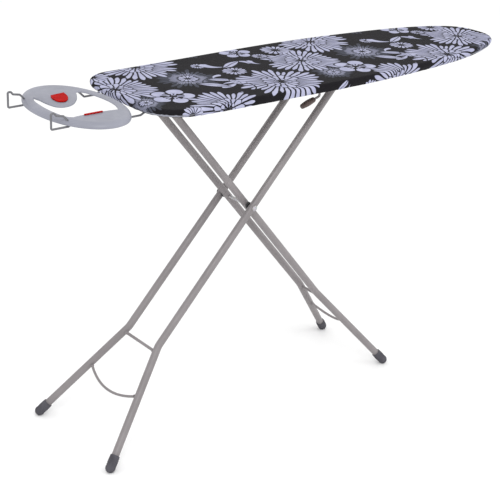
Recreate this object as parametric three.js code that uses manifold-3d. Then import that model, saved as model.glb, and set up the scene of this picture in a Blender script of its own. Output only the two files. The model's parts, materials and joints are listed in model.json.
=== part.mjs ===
// A free-standing ironing board on a folding crossed-leg stand, with an iron rest on wire rails.
// Units are millimetres. +X points to the nose, -Y to the side of the release lever, +Z up.
// The origin is on the floor, under the middle of the whole object.
//
// The board hinges on leg A (the inner frame) near its wide end. Leg B (the outer frame) crosses
// leg A at the centre axle, and its slider bar runs in the slots of two racks under the board.

import * as THREE from 'three';
import { mergeVertices } from 'three/addons/utils/BufferGeometryUtils.js';
import Module from 'manifold-3d';

const wasm = await Module();
wasm.setup();

// ---------------------------------------------------------------- driving dimensions

const GAP = 0.3;                 // space between touching pieces

const NOSE_X = 718;              // tip of the board
const BOARD_LENGTH = 1204;
const BOARD_HALF_WIDTH = 190;
const WIDE_END_HALF_WIDTH = 181.6;
const WIDE_END_CORNER = 80;
const NOSE_LENGTH = 660;         // tapered part of the outline
const NOSE_POWER_X = 1.72;
const NOSE_POWER_Y = 2.98;
const BOARD_TOP = 880;           // height of the ironing surface
const COVER_THICKNESS = 1.3;
const COVER_DROP = 17.6;         // top of the cover to the bottom of its hem
const COVER_HEM = 26;            // how far the hem turns in under the rim
const PAD_THICKNESS = 3.9;
const PANEL_THICKNESS = 1.2;
const RIM_WIDTH = 14;
const RIM_HEIGHT = 8.7;
const RIB_THICKNESS = 4;
const RIB_WIDTH = 24;
const COVER_EDGE = 4;            // rounding of the cover's edges
const RIM_EDGE = 3;
const PAD_INSET = 4;             // pad's edge, in from the cover's
const PANEL_INSET = 2.6;
const VENT_RADIUS = 12;
const VENT_PITCH = 100;          // along the board
const VENT_ROW = 90;             // rows of vents, from the middle line

const AXLE_X = -129;             // centre axle, where the legs cross
const AXLE_HEIGHT = 546.3;
const LEG_RADIUS = 9.5;
const LEG_WALL = 1.2;
const LEG_A = {                  // inner frame: hinged at the wide end, feet under the nose
  slope: THREE.MathUtils.degToRad(50.33), direction: 1, topHeight: 855, barRadius: 5,
  topHalfWidth: 42, bendHalfWidth: 34.3, bendAt: 409.6, footHalfWidth: 129.6,
  braceLowest: 556, braceSag: 24,
};
const LEG_B = {                  // outer frame: slides under the nose, feet under the wide end
  slope: THREE.MathUtils.degToRad(47.37), direction: -1, topHeight: 850, barRadius: 6,
  topHalfWidth: 62.4, bendHalfWidth: 65.7, bendAt: 420.7, footHalfWidth: 167.2,
  braceLowest: 581, braceSag: 26,
};
const LEG_TOP_OVERHANG = 12;     // leg tube past its top bar
const LEG_BEND_RADIUS = 45;
const AXLE_RADIUS = 4;
const STRAIGHT_BRACE_RADIUS = 3.8;
const CURVED_BRACE_RADIUS = 3.3;
const BRACE_BELOW_BEND = 16;     // straight brace wire, down the leg from the bend

const FOOT_RADIUS = 12.5;
const FOOT_SOCKET_END = 10;      // end of the tube, above the centre of the foot's round end
const FOOT_LENGTH = 44;
const FOOT_CENTRE_HEIGHT = 11;   // centre of the foot's round end, so the sole is a small flat

const HINGE_BRACKET_THICKNESS = 3;
const HINGE_BRACKET_Y = 25;      // inner face of each hinge bracket
const SPACER_RADIUS = 9;
const AXLE_CAP_RADIUS = 7.5;
const SLIDER_CAP_RADIUS = 10;
const CAP_THICKNESS = 4;
const RACK_Y = 80;               // inner face of each rack
const RACK_THICKNESS = 2.5;
const NOTCH_COUNT = 6;
const NOTCH_PITCH = 44;
const NOTCH_DEPTH = 5;
const REST_Y = 11;               // the iron rest sits a little to the far side
const REST_RAIL_SPACING = 189.5;
const REST_RAIL_HEIGHT = 857.5;
const REST_RAIL_END = -333;      // where the rails stop under the board
const REST_RAIL_RADIUS = 2.5;
const REST_RAIL_DIP = 852;       // height between the board and the tray
const REST_LOOP_TOP = 893.5;
const TRAY_CENTRE_X = -595.5;
const TRAY_HALF_LENGTH = 100.5;
const TRAY_HALF_WIDTH = 168.5;
const TRAY_POWER = 2.05;
const TRAY_TOP = 875;
const TRAY_SHEET = 1.2;
const TRAY_SKIRT = 14;
const TRAY_EDGE_REACH = 18;      // the rounded edge, seen from above
const TRAY_EDGE_DROP = 11;
const REST_PAD_TOP = 878.3;      // where the iron stands on the silicone pads
const STRIP_LENGTH = 48;
const STRIP_WIDTH = 5;

const LEVER_X = 12;
const LEVER_HEIGHT = 865;
const LEVER_RADIUS = 3;
const LEVER_FAR_END = 27;        // where the lever's shaft stops, past the inner lug
const LEVER_GRIP_Y = -130;
const LEVER_BEND_HEIGHT = 831;
const HOOK_HALF_WIDTH = 22;
const HOOK_WIRE_RADIUS = 2.5;
const SPRING_RADIUS = 5;
const SPRING_START = -84;        // next to the outer lug
const SPRING_PITCH = 2.6;
const SPRING_TURNS = 5;
const SPRING_WIRE_RADIUS = 0.8;
const LUG_THICKNESS = 2.5;
const LUG_OUTER_Y = -92;
const LUG_INNER_Y = -1.25;
const GRIP_START = 18;           // along the wire from its bend
const GRIP_LENGTH = 44;
const GRIP_SOCKET = 36;

// ---------------------------------------------------------------- materials

const finish = (color, roughness, metalness) =>
  new THREE.MeshStandardMaterial({ color, roughness, metalness });
const COVER_CLOTH = finish(0x2a2930, 0.9, 0);
const FOAM = finish(0xd8d4c8, 1, 0);
const SILVER_PAINT = finish(0xa9a39b, 0.45, 0.4);
const GREY_PAINT = finish(0xa6a9b8, 0.5, 0.2);
const BARE_STEEL = finish(0x8f8f92, 0.35, 0.9);
const GREY_RUBBER = finish(0x55565a, 0.85, 0);
const BROWN_PLASTIC = finish(0x4a322a, 0.6, 0);
const BLACK_PLASTIC = finish(0x1d1d1f, 0.5, 0);
const RED_SILICONE = finish(0xb51214, 0.6, 0);

// ---------------------------------------------------------------- geometry helpers

const board = new THREE.Group();
const legA = new THREE.Group();
const legB = new THREE.Group();
const lever = new THREE.Group();

function addPart(group, name, geometry, material) {
  const mesh = new THREE.Mesh(geometry, material);
  mesh.name = name;
  group.add(mesh);
  return mesh;
}

function toSolid(geometry) {
  const bare = geometry.clone();
  bare.deleteAttribute('normal');
  bare.deleteAttribute('uv');
  const merged = mergeVertices(bare, 1e-4);
  return new wasm.Manifold(new wasm.Mesh({
    numProp: 3,
    vertProperties: new Float32Array(merged.attributes.position.array),
    triVerts: new Uint32Array(merged.index.array),
  }));
}

function toGeometry(solid) {
  const mesh = solid.getMesh();
  const geometry = new THREE.BufferGeometry();
  geometry.setAttribute('position', new THREE.BufferAttribute(mesh.vertProperties, 3));
  geometry.setIndex(new THREE.BufferAttribute(mesh.triVerts, 1));
  geometry.computeVertexNormals();
  return geometry;
}

function cut(geometry, ...tools) {
  const solid = tools.reduce((rest, tool) => rest.subtract(toSolid(tool)), toSolid(geometry));
  return toGeometry(solid);
}

// A path that visits each of its stations in turn: straights need only their two ends.
class StationPath extends THREE.Curve {
  constructor(stations) {
    super();
    this.stations = stations;
    this.steps = stations.length - 1;
  }

  getPoint(t) {
    const place = Math.min(Math.max(t, 0), 1) * this.steps;
    const index = Math.min(Math.floor(place), this.steps - 1);
    return this.stations[index].clone().lerp(this.stations[index + 1], place - index);
  }

  getPointAt(u) {
    return this.getPoint(u);
  }

  getTangentAt(u) {
    const index = Math.round(u * this.steps);
    const before = this.stations[Math.max(index - 1, 0)];
    const here = this.stations[index];
    const after = this.stations[Math.min(index + 1, this.steps)];
    const arriving = here.clone().sub(before).normalize();
    const leaving = after.clone().sub(here).normalize();
    return arriving.add(leaving).normalize();
  }
}

// Rounds the inner corners of a polyline with arcs of one radius.
function roundCorners(corners, radius, stepsPerCorner = 4) {
  const stations = [corners[0]];
  for (let i = 1; i < corners.length - 1; i += 1) {
    const corner = corners[i];
    const back = corners[i - 1].clone().sub(corner).normalize();
    const ahead = corners[i + 1].clone().sub(corner).normalize();
    const halfTurn = back.angleTo(ahead) / 2;
    const reach = radius / Math.tan(halfTurn);
    const centre = back.clone().add(ahead).normalize()
      .multiplyScalar(radius / Math.sin(halfTurn)).add(corner);
    const from = back.multiplyScalar(reach).add(corner).sub(centre);
    const to = ahead.multiplyScalar(reach).add(corner).sub(centre);
    const turn = from.angleTo(to);
    for (let k = 0; k <= stepsPerCorner; k += 1) {
      const share = k / stepsPerCorner;
      const wayFrom = Math.sin((1 - share) * turn) / Math.sin(turn);
      const wayTo = Math.sin(share * turn) / Math.sin(turn);
      stations.push(from.clone().multiplyScalar(wayFrom).addScaledVector(to, wayTo).add(centre));
    }
  }
  stations.push(corners[corners.length - 1]);
  return stations;
}

function disc(radius, sides) {
  const points = [];
  for (let i = 0; i < sides; i += 1) {
    const angle = (2 * Math.PI * i) / sides;
    points.push(new THREE.Vector2(radius * Math.cos(angle), radius * Math.sin(angle)));
  }
  return points;
}

function rodAlong(stations, radius, sides = 8) {
  const path = new StationPath(stations);
  const shape = new THREE.Shape(disc(radius, sides));
  return new THREE.ExtrudeGeometry(shape, { steps: path.steps, extrudePath: path });
}

function tubeAlong(stations, radius, wall, sides = 14) {
  const path = new StationPath(stations);
  const shape = new THREE.Shape(disc(radius, sides));
  shape.holes.push(new THREE.Path(disc(radius - wall, sides)));
  return new THREE.ExtrudeGeometry(shape, { steps: path.steps, extrudePath: path });
}

// A straight round bar along Y.
function crossBar(x, z, radius, fromY, toY, sides = 16) {
  const bar = new THREE.CylinderGeometry(radius, radius, toY - fromY, sides);
  bar.translate(x, (fromY + toY) / 2, z);
  return bar;
}

// A round piece with its axis along Y, given as [radius, y] pairs.
function turnedAlongY(profile, x, z, sides = 16) {
  const points = profile.map(([radius, y]) => new THREE.Vector2(radius, y));
  const geometry = new THREE.LatheGeometry(points, sides);
  geometry.translate(x, 0, z);
  return geometry;
}

// Extrudes a plan outline upwards between two heights, with its edges rounded by a bevel.
function slab(shape, bottom, top, bevel = 0, bevelSegments = 2) {
  const geometry = new THREE.ExtrudeGeometry(shape, {
    depth: top - bottom - 2 * bevel, steps: 1, bevelEnabled: bevel > 0,
    bevelThickness: bevel, bevelSize: bevel, bevelOffset: -bevel, bevelSegments,
  });
  geometry.translate(0, 0, bottom + bevel);
  return geometry;
}

// A flat plate standing in an XZ plane, drawn as (x, z), from y to y + thickness.
function standingPlate(shape, y, thickness) {
  const geometry = new THREE.ExtrudeGeometry(shape, {
    depth: thickness, steps: 1, bevelEnabled: false,
  });
  geometry.rotateX(Math.PI / 2);
  geometry.translate(0, y + thickness, 0);
  return geometry;
}

// ---------------------------------------------------------------- board outline

const WIDE_END_X = NOSE_X - BOARD_LENGTH;

// One side of the outline, from the middle of the wide end to the tip of the nose.
function outlineSide() {
  const points = [];
  const cornerX = WIDE_END_X + WIDE_END_CORNER;
  const cornerY = WIDE_END_HALF_WIDTH - WIDE_END_CORNER;
  const cornerSteps = 6;
  for (let i = 0; i <= cornerSteps; i += 1) {
    const angle = Math.PI * (1 - (0.5 * i) / cornerSteps);
    points.push([cornerX + WIDE_END_CORNER * Math.cos(angle),
      cornerY + WIDE_END_CORNER * Math.sin(angle)]);
  }
  const noseSteps = 14;
  for (let i = 0; i <= noseSteps; i += 1) {
    const angle = (0.5 * Math.PI * i) / noseSteps;
    const x = NOSE_X - NOSE_LENGTH + NOSE_LENGTH * Math.sin(angle) ** (2 / NOSE_POWER_X);
    const y = BOARD_HALF_WIDTH * Math.max(Math.cos(angle), 0) ** (2 / NOSE_POWER_Y);
    points.push([x, y < 0.01 ? 0 : y]);
  }
  return points;
}

// The whole outline, counter-clockwise seen from above, moved inwards by inset.
function boardOutline(inset) {
  const side = outlineSide();
  const near = side.map(([x, y]) => new THREE.Vector2(x, -y));
  const far = side.slice(0, -1).reverse().map(([x, y]) => new THREE.Vector2(x, y));
  const loop = near.concat(far);
  return loop.map((point, i) => {
    const before = loop[(i + loop.length - 1) % loop.length];
    const after = loop[(i + 1) % loop.length];
    const along = after.clone().sub(before).normalize();
    return new THREE.Vector2(point.x - along.y * inset, point.y + along.x * inset);
  });
}

function outlineHalfWidth(x) {
  const side = outlineSide();
  const next = side.findIndex(([px], i) => i > 0 && px >= x);
  const [x0, y0] = side[next - 1];
  const [x1, y1] = side[next];
  return y0 + ((y1 - y0) * (x - x0)) / (x1 - x0);
}

// ---------------------------------------------------------------- the ironing surface

const COVER_BOTTOM = BOARD_TOP - COVER_DROP;
const PAD_TOP = BOARD_TOP - COVER_THICKNESS - GAP;
const PAD_BOTTOM = PAD_TOP - PAD_THICKNESS;
const PANEL_TOP = PAD_BOTTOM - GAP;
const PANEL_BOTTOM = PANEL_TOP - PANEL_THICKNESS;
const UNDERSIDE = PANEL_BOTTOM - GAP;        // where everything under the panel starts
const RIM_INSET = COVER_THICKNESS + GAP;

function makeCover() {
  const outer = slab(new THREE.Shape(boardOutline(0)), COVER_BOTTOM, BOARD_TOP, COVER_EDGE);
  const inner = slab(new THREE.Shape(boardOutline(COVER_THICKNESS)),
    COVER_BOTTOM + COVER_THICKNESS, BOARD_TOP - COVER_THICKNESS, COVER_EDGE - 1);
  const mouth = slab(new THREE.Shape(boardOutline(COVER_HEM)),
    COVER_BOTTOM - 5, COVER_BOTTOM + 5);
  return cut(outer, inner, mouth);
}

function makeRim() {
  const ring = new THREE.Shape(boardOutline(RIM_INSET));
  ring.holes.push(new THREE.Path(boardOutline(RIM_INSET + RIM_WIDTH)));
  return slab(ring, UNDERSIDE - RIM_HEIGHT, UNDERSIDE, RIM_EDGE);
}

function makePanel() {
  const plate = new THREE.Shape(boardOutline(PANEL_INSET));
  const margin = VENT_PITCH / 2;
  for (let x = WIDE_END_X + VENT_ROW; x < NOSE_X - 2 * VENT_PITCH; x += VENT_PITCH) {
    for (const y of [-VENT_ROW, 0, VENT_ROW]) {
      if (outlineHalfWidth(x) > Math.abs(y) + margin) {
        const vent = disc(VENT_RADIUS, 6).map((p) => new THREE.Vector2(p.x + x, p.y + y));
        plate.holes.push(new THREE.Path(vent));
      }
    }
  }
  return slab(plate, PANEL_BOTTOM, PANEL_TOP);
}

// A rib across the board between the two sides of the rim, placed along X from the centre axle.
function makeRib(place) {
  const x = AXLE_X + place;
  const narrowest = Math.min(
    outlineHalfWidth(x - RIB_WIDTH / 2), outlineHalfWidth(x + RIB_WIDTH / 2));
  const halfLength = narrowest - RIM_INSET - RIM_WIDTH - 3;
  const rib = new THREE.BoxGeometry(RIB_WIDTH, 2 * halfLength, RIB_THICKNESS);
  rib.translate(x, 0, UNDERSIDE - RIB_THICKNESS / 2);
  return rib;
}

addPart(board, 'cover', makeCover(), COVER_CLOTH);
addPart(board, 'foam_pad',
  slab(new THREE.Shape(boardOutline(PAD_INSET)), PAD_BOTTOM, PAD_TOP), FOAM);
addPart(board, 'top_panel', makePanel(), GREY_PAINT);
addPart(board, 'rim_frame', makeRim(), GREY_PAINT);
addPart(board, 'rib_wide_end', makeRib(-150), GREY_PAINT);
addPart(board, 'rib_middle', makeRib(60), GREY_PAINT);
addPart(board, 'rib_nose', makeRib(640), GREY_PAINT);

// ---------------------------------------------------------------- crossed legs

// A point on a leg's plane: distance down the leg from the centre axle, and Y.
function onLeg(leg, distance, y) {
  return new THREE.Vector3(
    AXLE_X + leg.direction * distance * Math.cos(leg.slope),
    y,
    AXLE_HEIGHT - distance * Math.sin(leg.slope),
  );
}

const topDistance = (leg) => -(leg.topHeight - AXLE_HEIGHT) / Math.sin(leg.slope);
const footDistance = (leg) => (AXLE_HEIGHT - FOOT_CENTRE_HEIGHT) / Math.sin(leg.slope);

// Half the distance between the two tubes of a leg: above the bend, and in the flare below it.
function straightHalfWidth(leg, distance) {
  const share = (distance - topDistance(leg)) / (leg.bendAt - topDistance(leg));
  return leg.topHalfWidth + share * (leg.bendHalfWidth - leg.topHalfWidth);
}

function flareHalfWidth(leg, distance) {
  const share = (distance - leg.bendAt) / (footDistance(leg) - leg.bendAt);
  return leg.bendHalfWidth + share * (leg.footHalfWidth - leg.bendHalfWidth);
}

function makeLegTube(leg, side) {
  const bend = onLeg(leg, leg.bendAt, side * leg.bendHalfWidth);
  const foot = onLeg(leg, footDistance(leg), side * leg.footHalfWidth);
  const end = foot.clone().lerp(bend, FOOT_SOCKET_END / foot.distanceTo(bend));
  const tip = topDistance(leg) - LEG_TOP_OVERHANG;
  const corners = [onLeg(leg, tip, side * straightHalfWidth(leg, tip)), bend, end];
  const tube = tubeAlong(roundCorners(corners, LEG_BEND_RADIUS), LEG_RADIUS, LEG_WALL);
  const top = onLeg(leg, topDistance(leg), 0);
  const reach = leg.topHalfWidth + 2 * LEG_RADIUS;
  return cut(
    tube,
    crossBar(top.x, top.z, leg.barRadius + GAP, -reach, reach),
    crossBar(AXLE_X, AXLE_HEIGHT, AXLE_RADIUS + GAP, -reach, reach),
  );
}

// The straight brace wire ends on the inner walls of the two tubes.
function makeStraightBrace(leg) {
  const distance = leg.bendAt + BRACE_BELOW_BEND;
  const halfLength = flareHalfWidth(leg, distance) - LEG_RADIUS - 2;
  const place = onLeg(leg, distance, 0);
  return crossBar(place.x, place.z, STRAIGHT_BRACE_RADIUS, -halfLength, halfLength, 10);
}

// The curved brace wire sags towards the floor between the flared ends of the tubes.
function makeCurvedBrace(leg) {
  const halfLength = flareHalfWidth(leg, leg.braceLowest - leg.braceSag) - LEG_RADIUS - 4.5;
  const steps = 12;
  const stations = [];
  for (let i = 0; i <= steps; i += 1) {
    const share = (2 * i) / steps - 1;
    stations.push(onLeg(leg, leg.braceLowest - leg.braceSag * share * share, share * halfLength));
  }
  return rodAlong(stations, CURVED_BRACE_RADIUS);
}

// A rubber foot: a barrel with a socket for the tube, a round end and a flat sole on the floor.
function makeFoot(leg, side) {
  const bore = LEG_RADIUS + GAP;
  const boreEnd = FOOT_SOCKET_END - 1;
  const profile = [
    [0, boreEnd], [bore, boreEnd], [bore, FOOT_LENGTH - FOOT_RADIUS],
    [bore + 1.8, FOOT_LENGTH - FOOT_RADIUS], [FOOT_RADIUS, 24], [FOOT_RADIUS + 0.4, 10],
    [FOOT_RADIUS, 0],
  ];
  const domeSteps = 5;
  for (let i = 1; i <= domeSteps; i += 1) {
    const angle = (0.5 * Math.PI * i) / domeSteps;
    const radius = i === domeSteps ? 0 : FOOT_RADIUS * Math.cos(angle);
    profile.push([radius, -FOOT_RADIUS * Math.sin(angle)]);
  }
  const points = profile.reverse().map(([radius, y]) => new THREE.Vector2(radius, y));
  const geometry = new THREE.LatheGeometry(points, 20);
  const bend = onLeg(leg, leg.bendAt, side * leg.bendHalfWidth);
  const foot = onLeg(leg, footDistance(leg), side * leg.footHalfWidth);
  const up = bend.clone().sub(foot).normalize();
  geometry.applyQuaternion(new THREE.Quaternion().setFromUnitVectors(new THREE.Vector3(0, 1, 0), up));
  geometry.translate(foot.x, foot.y, foot.z);
  const floor = new THREE.BoxGeometry(80, 80, 40);
  floor.translate(foot.x, foot.y, -20);
  return cut(geometry, floor);
}

function addLeg(group, name, leg) {
  for (const [where, side] of [['near', -1], ['far', 1]]) {
    addPart(group, `${name}_tube_${where}`, makeLegTube(leg, side), SILVER_PAINT);
    addPart(group, `${name}_foot_${where}`, makeFoot(leg, side), GREY_RUBBER);
  }
  addPart(group, `${name}_straight_brace`, makeStraightBrace(leg), SILVER_PAINT);
  addPart(group, `${name}_curved_brace`, makeCurvedBrace(leg), SILVER_PAINT);
}

addLeg(legA, 'leg_a', LEG_A);
addLeg(legB, 'leg_b', LEG_B);

// ---------------------------------------------------------------- pivots

const legATop = onLeg(LEG_A, topDistance(LEG_A), 0);
const legBTop = onLeg(LEG_B, topDistance(LEG_B), 0);
const LEG_A_OUTSIDE = straightHalfWidth(LEG_A, 0) + LEG_RADIUS;
const LEG_B_OUTSIDE = straightHalfWidth(LEG_B, 0) + LEG_RADIUS;
const HINGE_BAR_END = LEG_A.topHalfWidth + LEG_RADIUS + 3;
const SLIDER_BAR_END = RACK_Y + RACK_THICKNESS * 2;

addPart(legA, 'hinge_bar',
  crossBar(legATop.x, legATop.z, LEG_A.barRadius, -HINGE_BAR_END, HINGE_BAR_END), BARE_STEEL);
addPart(legA, 'centre_axle',
  crossBar(AXLE_X, AXLE_HEIGHT, AXLE_RADIUS, -LEG_B_OUTSIDE - GAP, LEG_B_OUTSIDE + GAP), BARE_STEEL);
addPart(legB, 'slider_bar',
  crossBar(legBTop.x, legBTop.z, LEG_B.barRadius, -SLIDER_BAR_END, SLIDER_BAR_END), BARE_STEEL);

function addPivotTrim(where, side) {
  const inner = LEG_A_OUTSIDE + GAP;
  const outer = LEG_B_OUTSIDE - 2 * LEG_RADIUS - GAP;
  const bore = AXLE_RADIUS + GAP;
  const ring = [
    [bore, side * inner], [SPACER_RADIUS, side * inner], [SPACER_RADIUS, side * outer],
    [bore, side * outer], [bore, side * inner],
  ];
  const capFrom = LEG_B_OUTSIDE + 2 * GAP;
  const cap = [
    [0, side * capFrom], [AXLE_CAP_RADIUS, side * capFrom],
    [AXLE_CAP_RADIUS, side * (capFrom + CAP_THICKNESS * 0.3)],
    [AXLE_CAP_RADIUS * 0.7, side * (capFrom + CAP_THICKNESS * 0.8)],
    [0, side * (capFrom + CAP_THICKNESS)],
  ];
  const endFrom = SLIDER_BAR_END + GAP;
  const end = [
    [0, side * endFrom], [SLIDER_CAP_RADIUS, side * endFrom],
    [SLIDER_CAP_RADIUS, side * (endFrom + CAP_THICKNESS - 1)],
    [SLIDER_CAP_RADIUS - 2, side * (endFrom + CAP_THICKNESS)],
    [0, side * (endFrom + CAP_THICKNESS)],
  ];
  const outwards = (profile) => (side > 0 ? profile : profile.reverse());
  addPart(legA, `pivot_spacer_${where}`,
    turnedAlongY(outwards(ring), AXLE_X, AXLE_HEIGHT), BLACK_PLASTIC);
  addPart(legA, `axle_cap_${where}`,
    turnedAlongY(outwards(cap), AXLE_X, AXLE_HEIGHT), BARE_STEEL);
  addPart(legB, `slider_cap_${where}`,
    turnedAlongY(outwards(end), legBTop.x, legBTop.z), BLACK_PLASTIC);
}

addPivotTrim('near', -1);
addPivotTrim('far', 1);

// A bracket plate under the panel, with a bore for the hinge bar.
function makeHingeBracket(y) {
  const eye = LEG_A.barRadius + 6;
  const halfBase = 22;
  const shape = new THREE.Shape();
  shape.moveTo(legATop.x - halfBase, UNDERSIDE);
  shape.lineTo(legATop.x - eye, legATop.z);
  shape.absarc(legATop.x, legATop.z, eye, Math.PI, 2 * Math.PI, false);
  shape.lineTo(legATop.x + halfBase, UNDERSIDE);
  shape.closePath();
  const bore = disc(LEG_A.barRadius + GAP, 16);
  shape.holes.push(new THREE.Path(
    bore.map((p) => new THREE.Vector2(p.x + legATop.x, p.y + legATop.z)),
  ));
  return standingPlate(shape, y, HINGE_BRACKET_THICKNESS);
}

addPart(board, 'hinge_bracket_near',
  makeHingeBracket(-HINGE_BRACKET_Y - HINGE_BRACKET_THICKNESS), GREY_PAINT);
addPart(board, 'hinge_bracket_far', makeHingeBracket(HINGE_BRACKET_Y), GREY_PAINT);

// A rack plate: a long slot for the slider bar, with height notches along its upper edge.
const RACK_START = legBTop.x - 40;
const RACK_END = legBTop.x + 322;
const SLOT_BOTTOM = legBTop.z - LEG_B.barRadius - 4;
const SLOT_TOP = legBTop.z + LEG_B.barRadius + 1.5;

function makeRack(y) {
  const shape = new THREE.Shape();
  shape.moveTo(RACK_START, UNDERSIDE);
  shape.lineTo(RACK_START, SLOT_BOTTOM + 2);
  shape.lineTo(RACK_START + 8, SLOT_BOTTOM - 6);
  shape.lineTo(RACK_END - 8, SLOT_BOTTOM - 6);
  shape.lineTo(RACK_END, SLOT_BOTTOM + 2);
  shape.lineTo(RACK_END, UNDERSIDE);
  shape.closePath();
  const slotStart = legBTop.x - LEG_B.barRadius - 3;
  const slotEnd = RACK_END - 24;
  const slot = [new THREE.Vector2(slotStart, SLOT_BOTTOM), new THREE.Vector2(slotEnd, SLOT_BOTTOM),
    new THREE.Vector2(slotEnd, SLOT_TOP)];
  for (let notch = NOTCH_COUNT - 1; notch >= 0; notch -= 1) {
    const x = legBTop.x + notch * NOTCH_PITCH;
    slot.push(new THREE.Vector2(x + 7, SLOT_TOP), new THREE.Vector2(x + 7, SLOT_TOP + NOTCH_DEPTH),
      new THREE.Vector2(x - 2, SLOT_TOP + NOTCH_DEPTH), new THREE.Vector2(x - 7, SLOT_TOP));
  }
  slot.push(new THREE.Vector2(slotStart, SLOT_TOP));
  shape.holes.push(new THREE.Path(slot));
  return standingPlate(shape, y, RACK_THICKNESS);
}

addPart(board, 'rack_near', makeRack(-RACK_Y - RACK_THICKNESS), BARE_STEEL);
addPart(board, 'rack_far', makeRack(RACK_Y), BARE_STEEL);

// ---------------------------------------------------------------- iron rest

// A wire rail: it dips out from under the board, bears the tray from below, turns up past it in a
// square loop and ends in the tray's rounded edge.
function restRailStations(y) {
  const at = (x, z) => new THREE.Vector3(x, y, z);
  const tip = -NOSE_X + REST_RAIL_RADIUS;
  const underTray = TRAY_TOP - TRAY_SHEET - REST_RAIL_RADIUS - 1;
  const corners = [
    at(REST_RAIL_END, REST_RAIL_HEIGHT),
    at(WIDE_END_X + 14, REST_RAIL_HEIGHT),
    at(WIDE_END_X + 4, REST_RAIL_DIP),
    at(WIDE_END_X - 28.5, REST_RAIL_DIP),
    at(WIDE_END_X - 48, underTray),
    at(tip + 60, underTray),
    at(tip + 44, REST_RAIL_HEIGHT),
    at(tip, REST_RAIL_HEIGHT),
    at(tip, REST_LOOP_TOP),
    at(tip + 8, REST_LOOP_TOP),
    at(tip + 13, REST_LOOP_TOP - 6.5),
    at(tip + 31, REST_LOOP_TOP - 10),
    at(tip + 44.5, REST_LOOP_TOP - 24.4),
  ];
  return roundCorners(corners, 3.4, 3);
}

function makeRailClip(x, y) {
  const clip = new THREE.BoxGeometry(12, 14, UNDERSIDE - REST_RAIL_HEIGHT + 6);
  clip.translate(x, y, (UNDERSIDE + REST_RAIL_HEIGHT - 6) / 2);
  const bore = new THREE.CylinderGeometry(
    REST_RAIL_RADIUS + GAP, REST_RAIL_RADIUS + GAP, 20, 12);
  bore.rotateZ(Math.PI / 2);
  bore.translate(x, y, REST_RAIL_HEIGHT);
  return cut(clip, bore);
}

const railY = (side) => REST_Y + (side * REST_RAIL_SPACING) / 2;

for (const [where, side] of [['near', -1], ['far', 1]]) {
  const y = railY(side);
  addPart(board, `rest_rail_${where}`, rodAlong(restRailStations(y), REST_RAIL_RADIUS), SILVER_PAINT);
  addPart(board, `rail_clip_${where}_outer`, makeRailClip(REST_RAIL_END - 90, y), BLACK_PLASTIC);
  addPart(board, `rail_clip_${where}_inner`, makeRailClip(REST_RAIL_END - 20, y), BLACK_PLASTIC);
}

function trayOutline(inset) {
  const points = [];
  const steps = 40;
  const power = 2 / TRAY_POWER;
  for (let i = 0; i < steps; i += 1) {
    const angle = (2 * Math.PI * i) / steps;
    const c = Math.cos(angle);
    const s = Math.sin(angle);
    points.push(new THREE.Vector2(
      TRAY_CENTRE_X + (TRAY_HALF_LENGTH - inset) * Math.sign(c) * Math.abs(c) ** power,
      REST_Y + (TRAY_HALF_WIDTH - inset) * Math.sign(s) * Math.abs(s) ** power,
    ));
  }
  return points;
}

// A plan point on the tray, from its centre.
function onTray(x, y) {
  return new THREE.Vector2(TRAY_CENTRE_X + x, REST_Y + y);
}

// The window in the tray, with a tongue that reaches in from the far side.
function trayWindow() {
  const path = new THREE.Path();
  path.moveTo(...onTray(-60, 84));
  path.splineThru([onTray(-71, 58), onTray(-77, 10), onTray(-77, -34), onTray(-71, -74),
    onTray(-60, -88)]);
  path.splineThru([onTray(-44, -85.5), onTray(18, -85.5), onTray(57, -91)]);
  path.splineThru([onTray(70.5, -50), onTray(73, 0), onTray(66, 52), onTray(56, 74)]);
  path.lineTo(...onTray(47.5, 75.5));
  path.splineThru([onTray(28, 39), onTray(12, 17), onTray(-5, 0), onTray(-20, -8.8),
    onTray(-34, -10.6), onTray(-45, -6.5), onTray(-53, 7), onTray(-57, 36), onTray(-57, 62)]);
  path.closePath();
  return path.getPoints(3).slice(0, -1);
}

// The tray's outside (inset 0) or inside, down to below the foot of its skirt.
function trayForm(inset) {
  const top = TRAY_TOP - inset;
  const depth = TRAY_SKIRT - TRAY_EDGE_DROP;
  const geometry = new THREE.ExtrudeGeometry(new THREE.Shape(trayOutline(inset)), {
    depth, steps: 1, bevelEnabled: true, bevelThickness: TRAY_EDGE_DROP,
    bevelSize: TRAY_EDGE_REACH, bevelOffset: -TRAY_EDGE_REACH, bevelSegments: 5,
  });
  geometry.translate(0, 0, top - TRAY_EDGE_DROP - depth);
  return geometry;
}

function makeTray() {
  const bottom = TRAY_TOP - TRAY_SKIRT;
  const below = slab(new THREE.Shape(trayOutline(-5)), bottom - 2 * TRAY_EDGE_DROP, bottom);
  const window = slab(new THREE.Shape(trayWindow()), bottom - 10, TRAY_TOP + 5);
  const holes = [-1, 1].map((side) =>
    rodAlong(restRailStations(railY(side)).slice(-3), REST_RAIL_RADIUS + 2 * GAP));
  return cut(trayForm(0), trayForm(TRAY_SHEET), below, window, ...holes);
}

function makeLeafPad() {
  const shape = new THREE.Shape();
  shape.moveTo(...onTray(-23, 71));
  shape.splineThru([onTray(-31.5, 50), onTray(-32, 26), onTray(-22, 15.5), onTray(-6, 24),
    onTray(8, 48), onTray(14.5, 75.5)]);
  shape.closePath();
  return slab(new THREE.Shape(shape.getPoints(3)), TRAY_TOP + GAP, REST_PAD_TOP, 0.8, 1);
}

function makeEdgeStrip() {
  const thickness = REST_PAD_TOP - TRAY_TOP - GAP;
  const strip = new THREE.BoxGeometry(STRIP_LENGTH, STRIP_WIDTH, thickness);
  const place = onTray(-10, -91.5);
  strip.translate(place.x, place.y, REST_PAD_TOP - thickness / 2);
  return strip;
}

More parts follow.
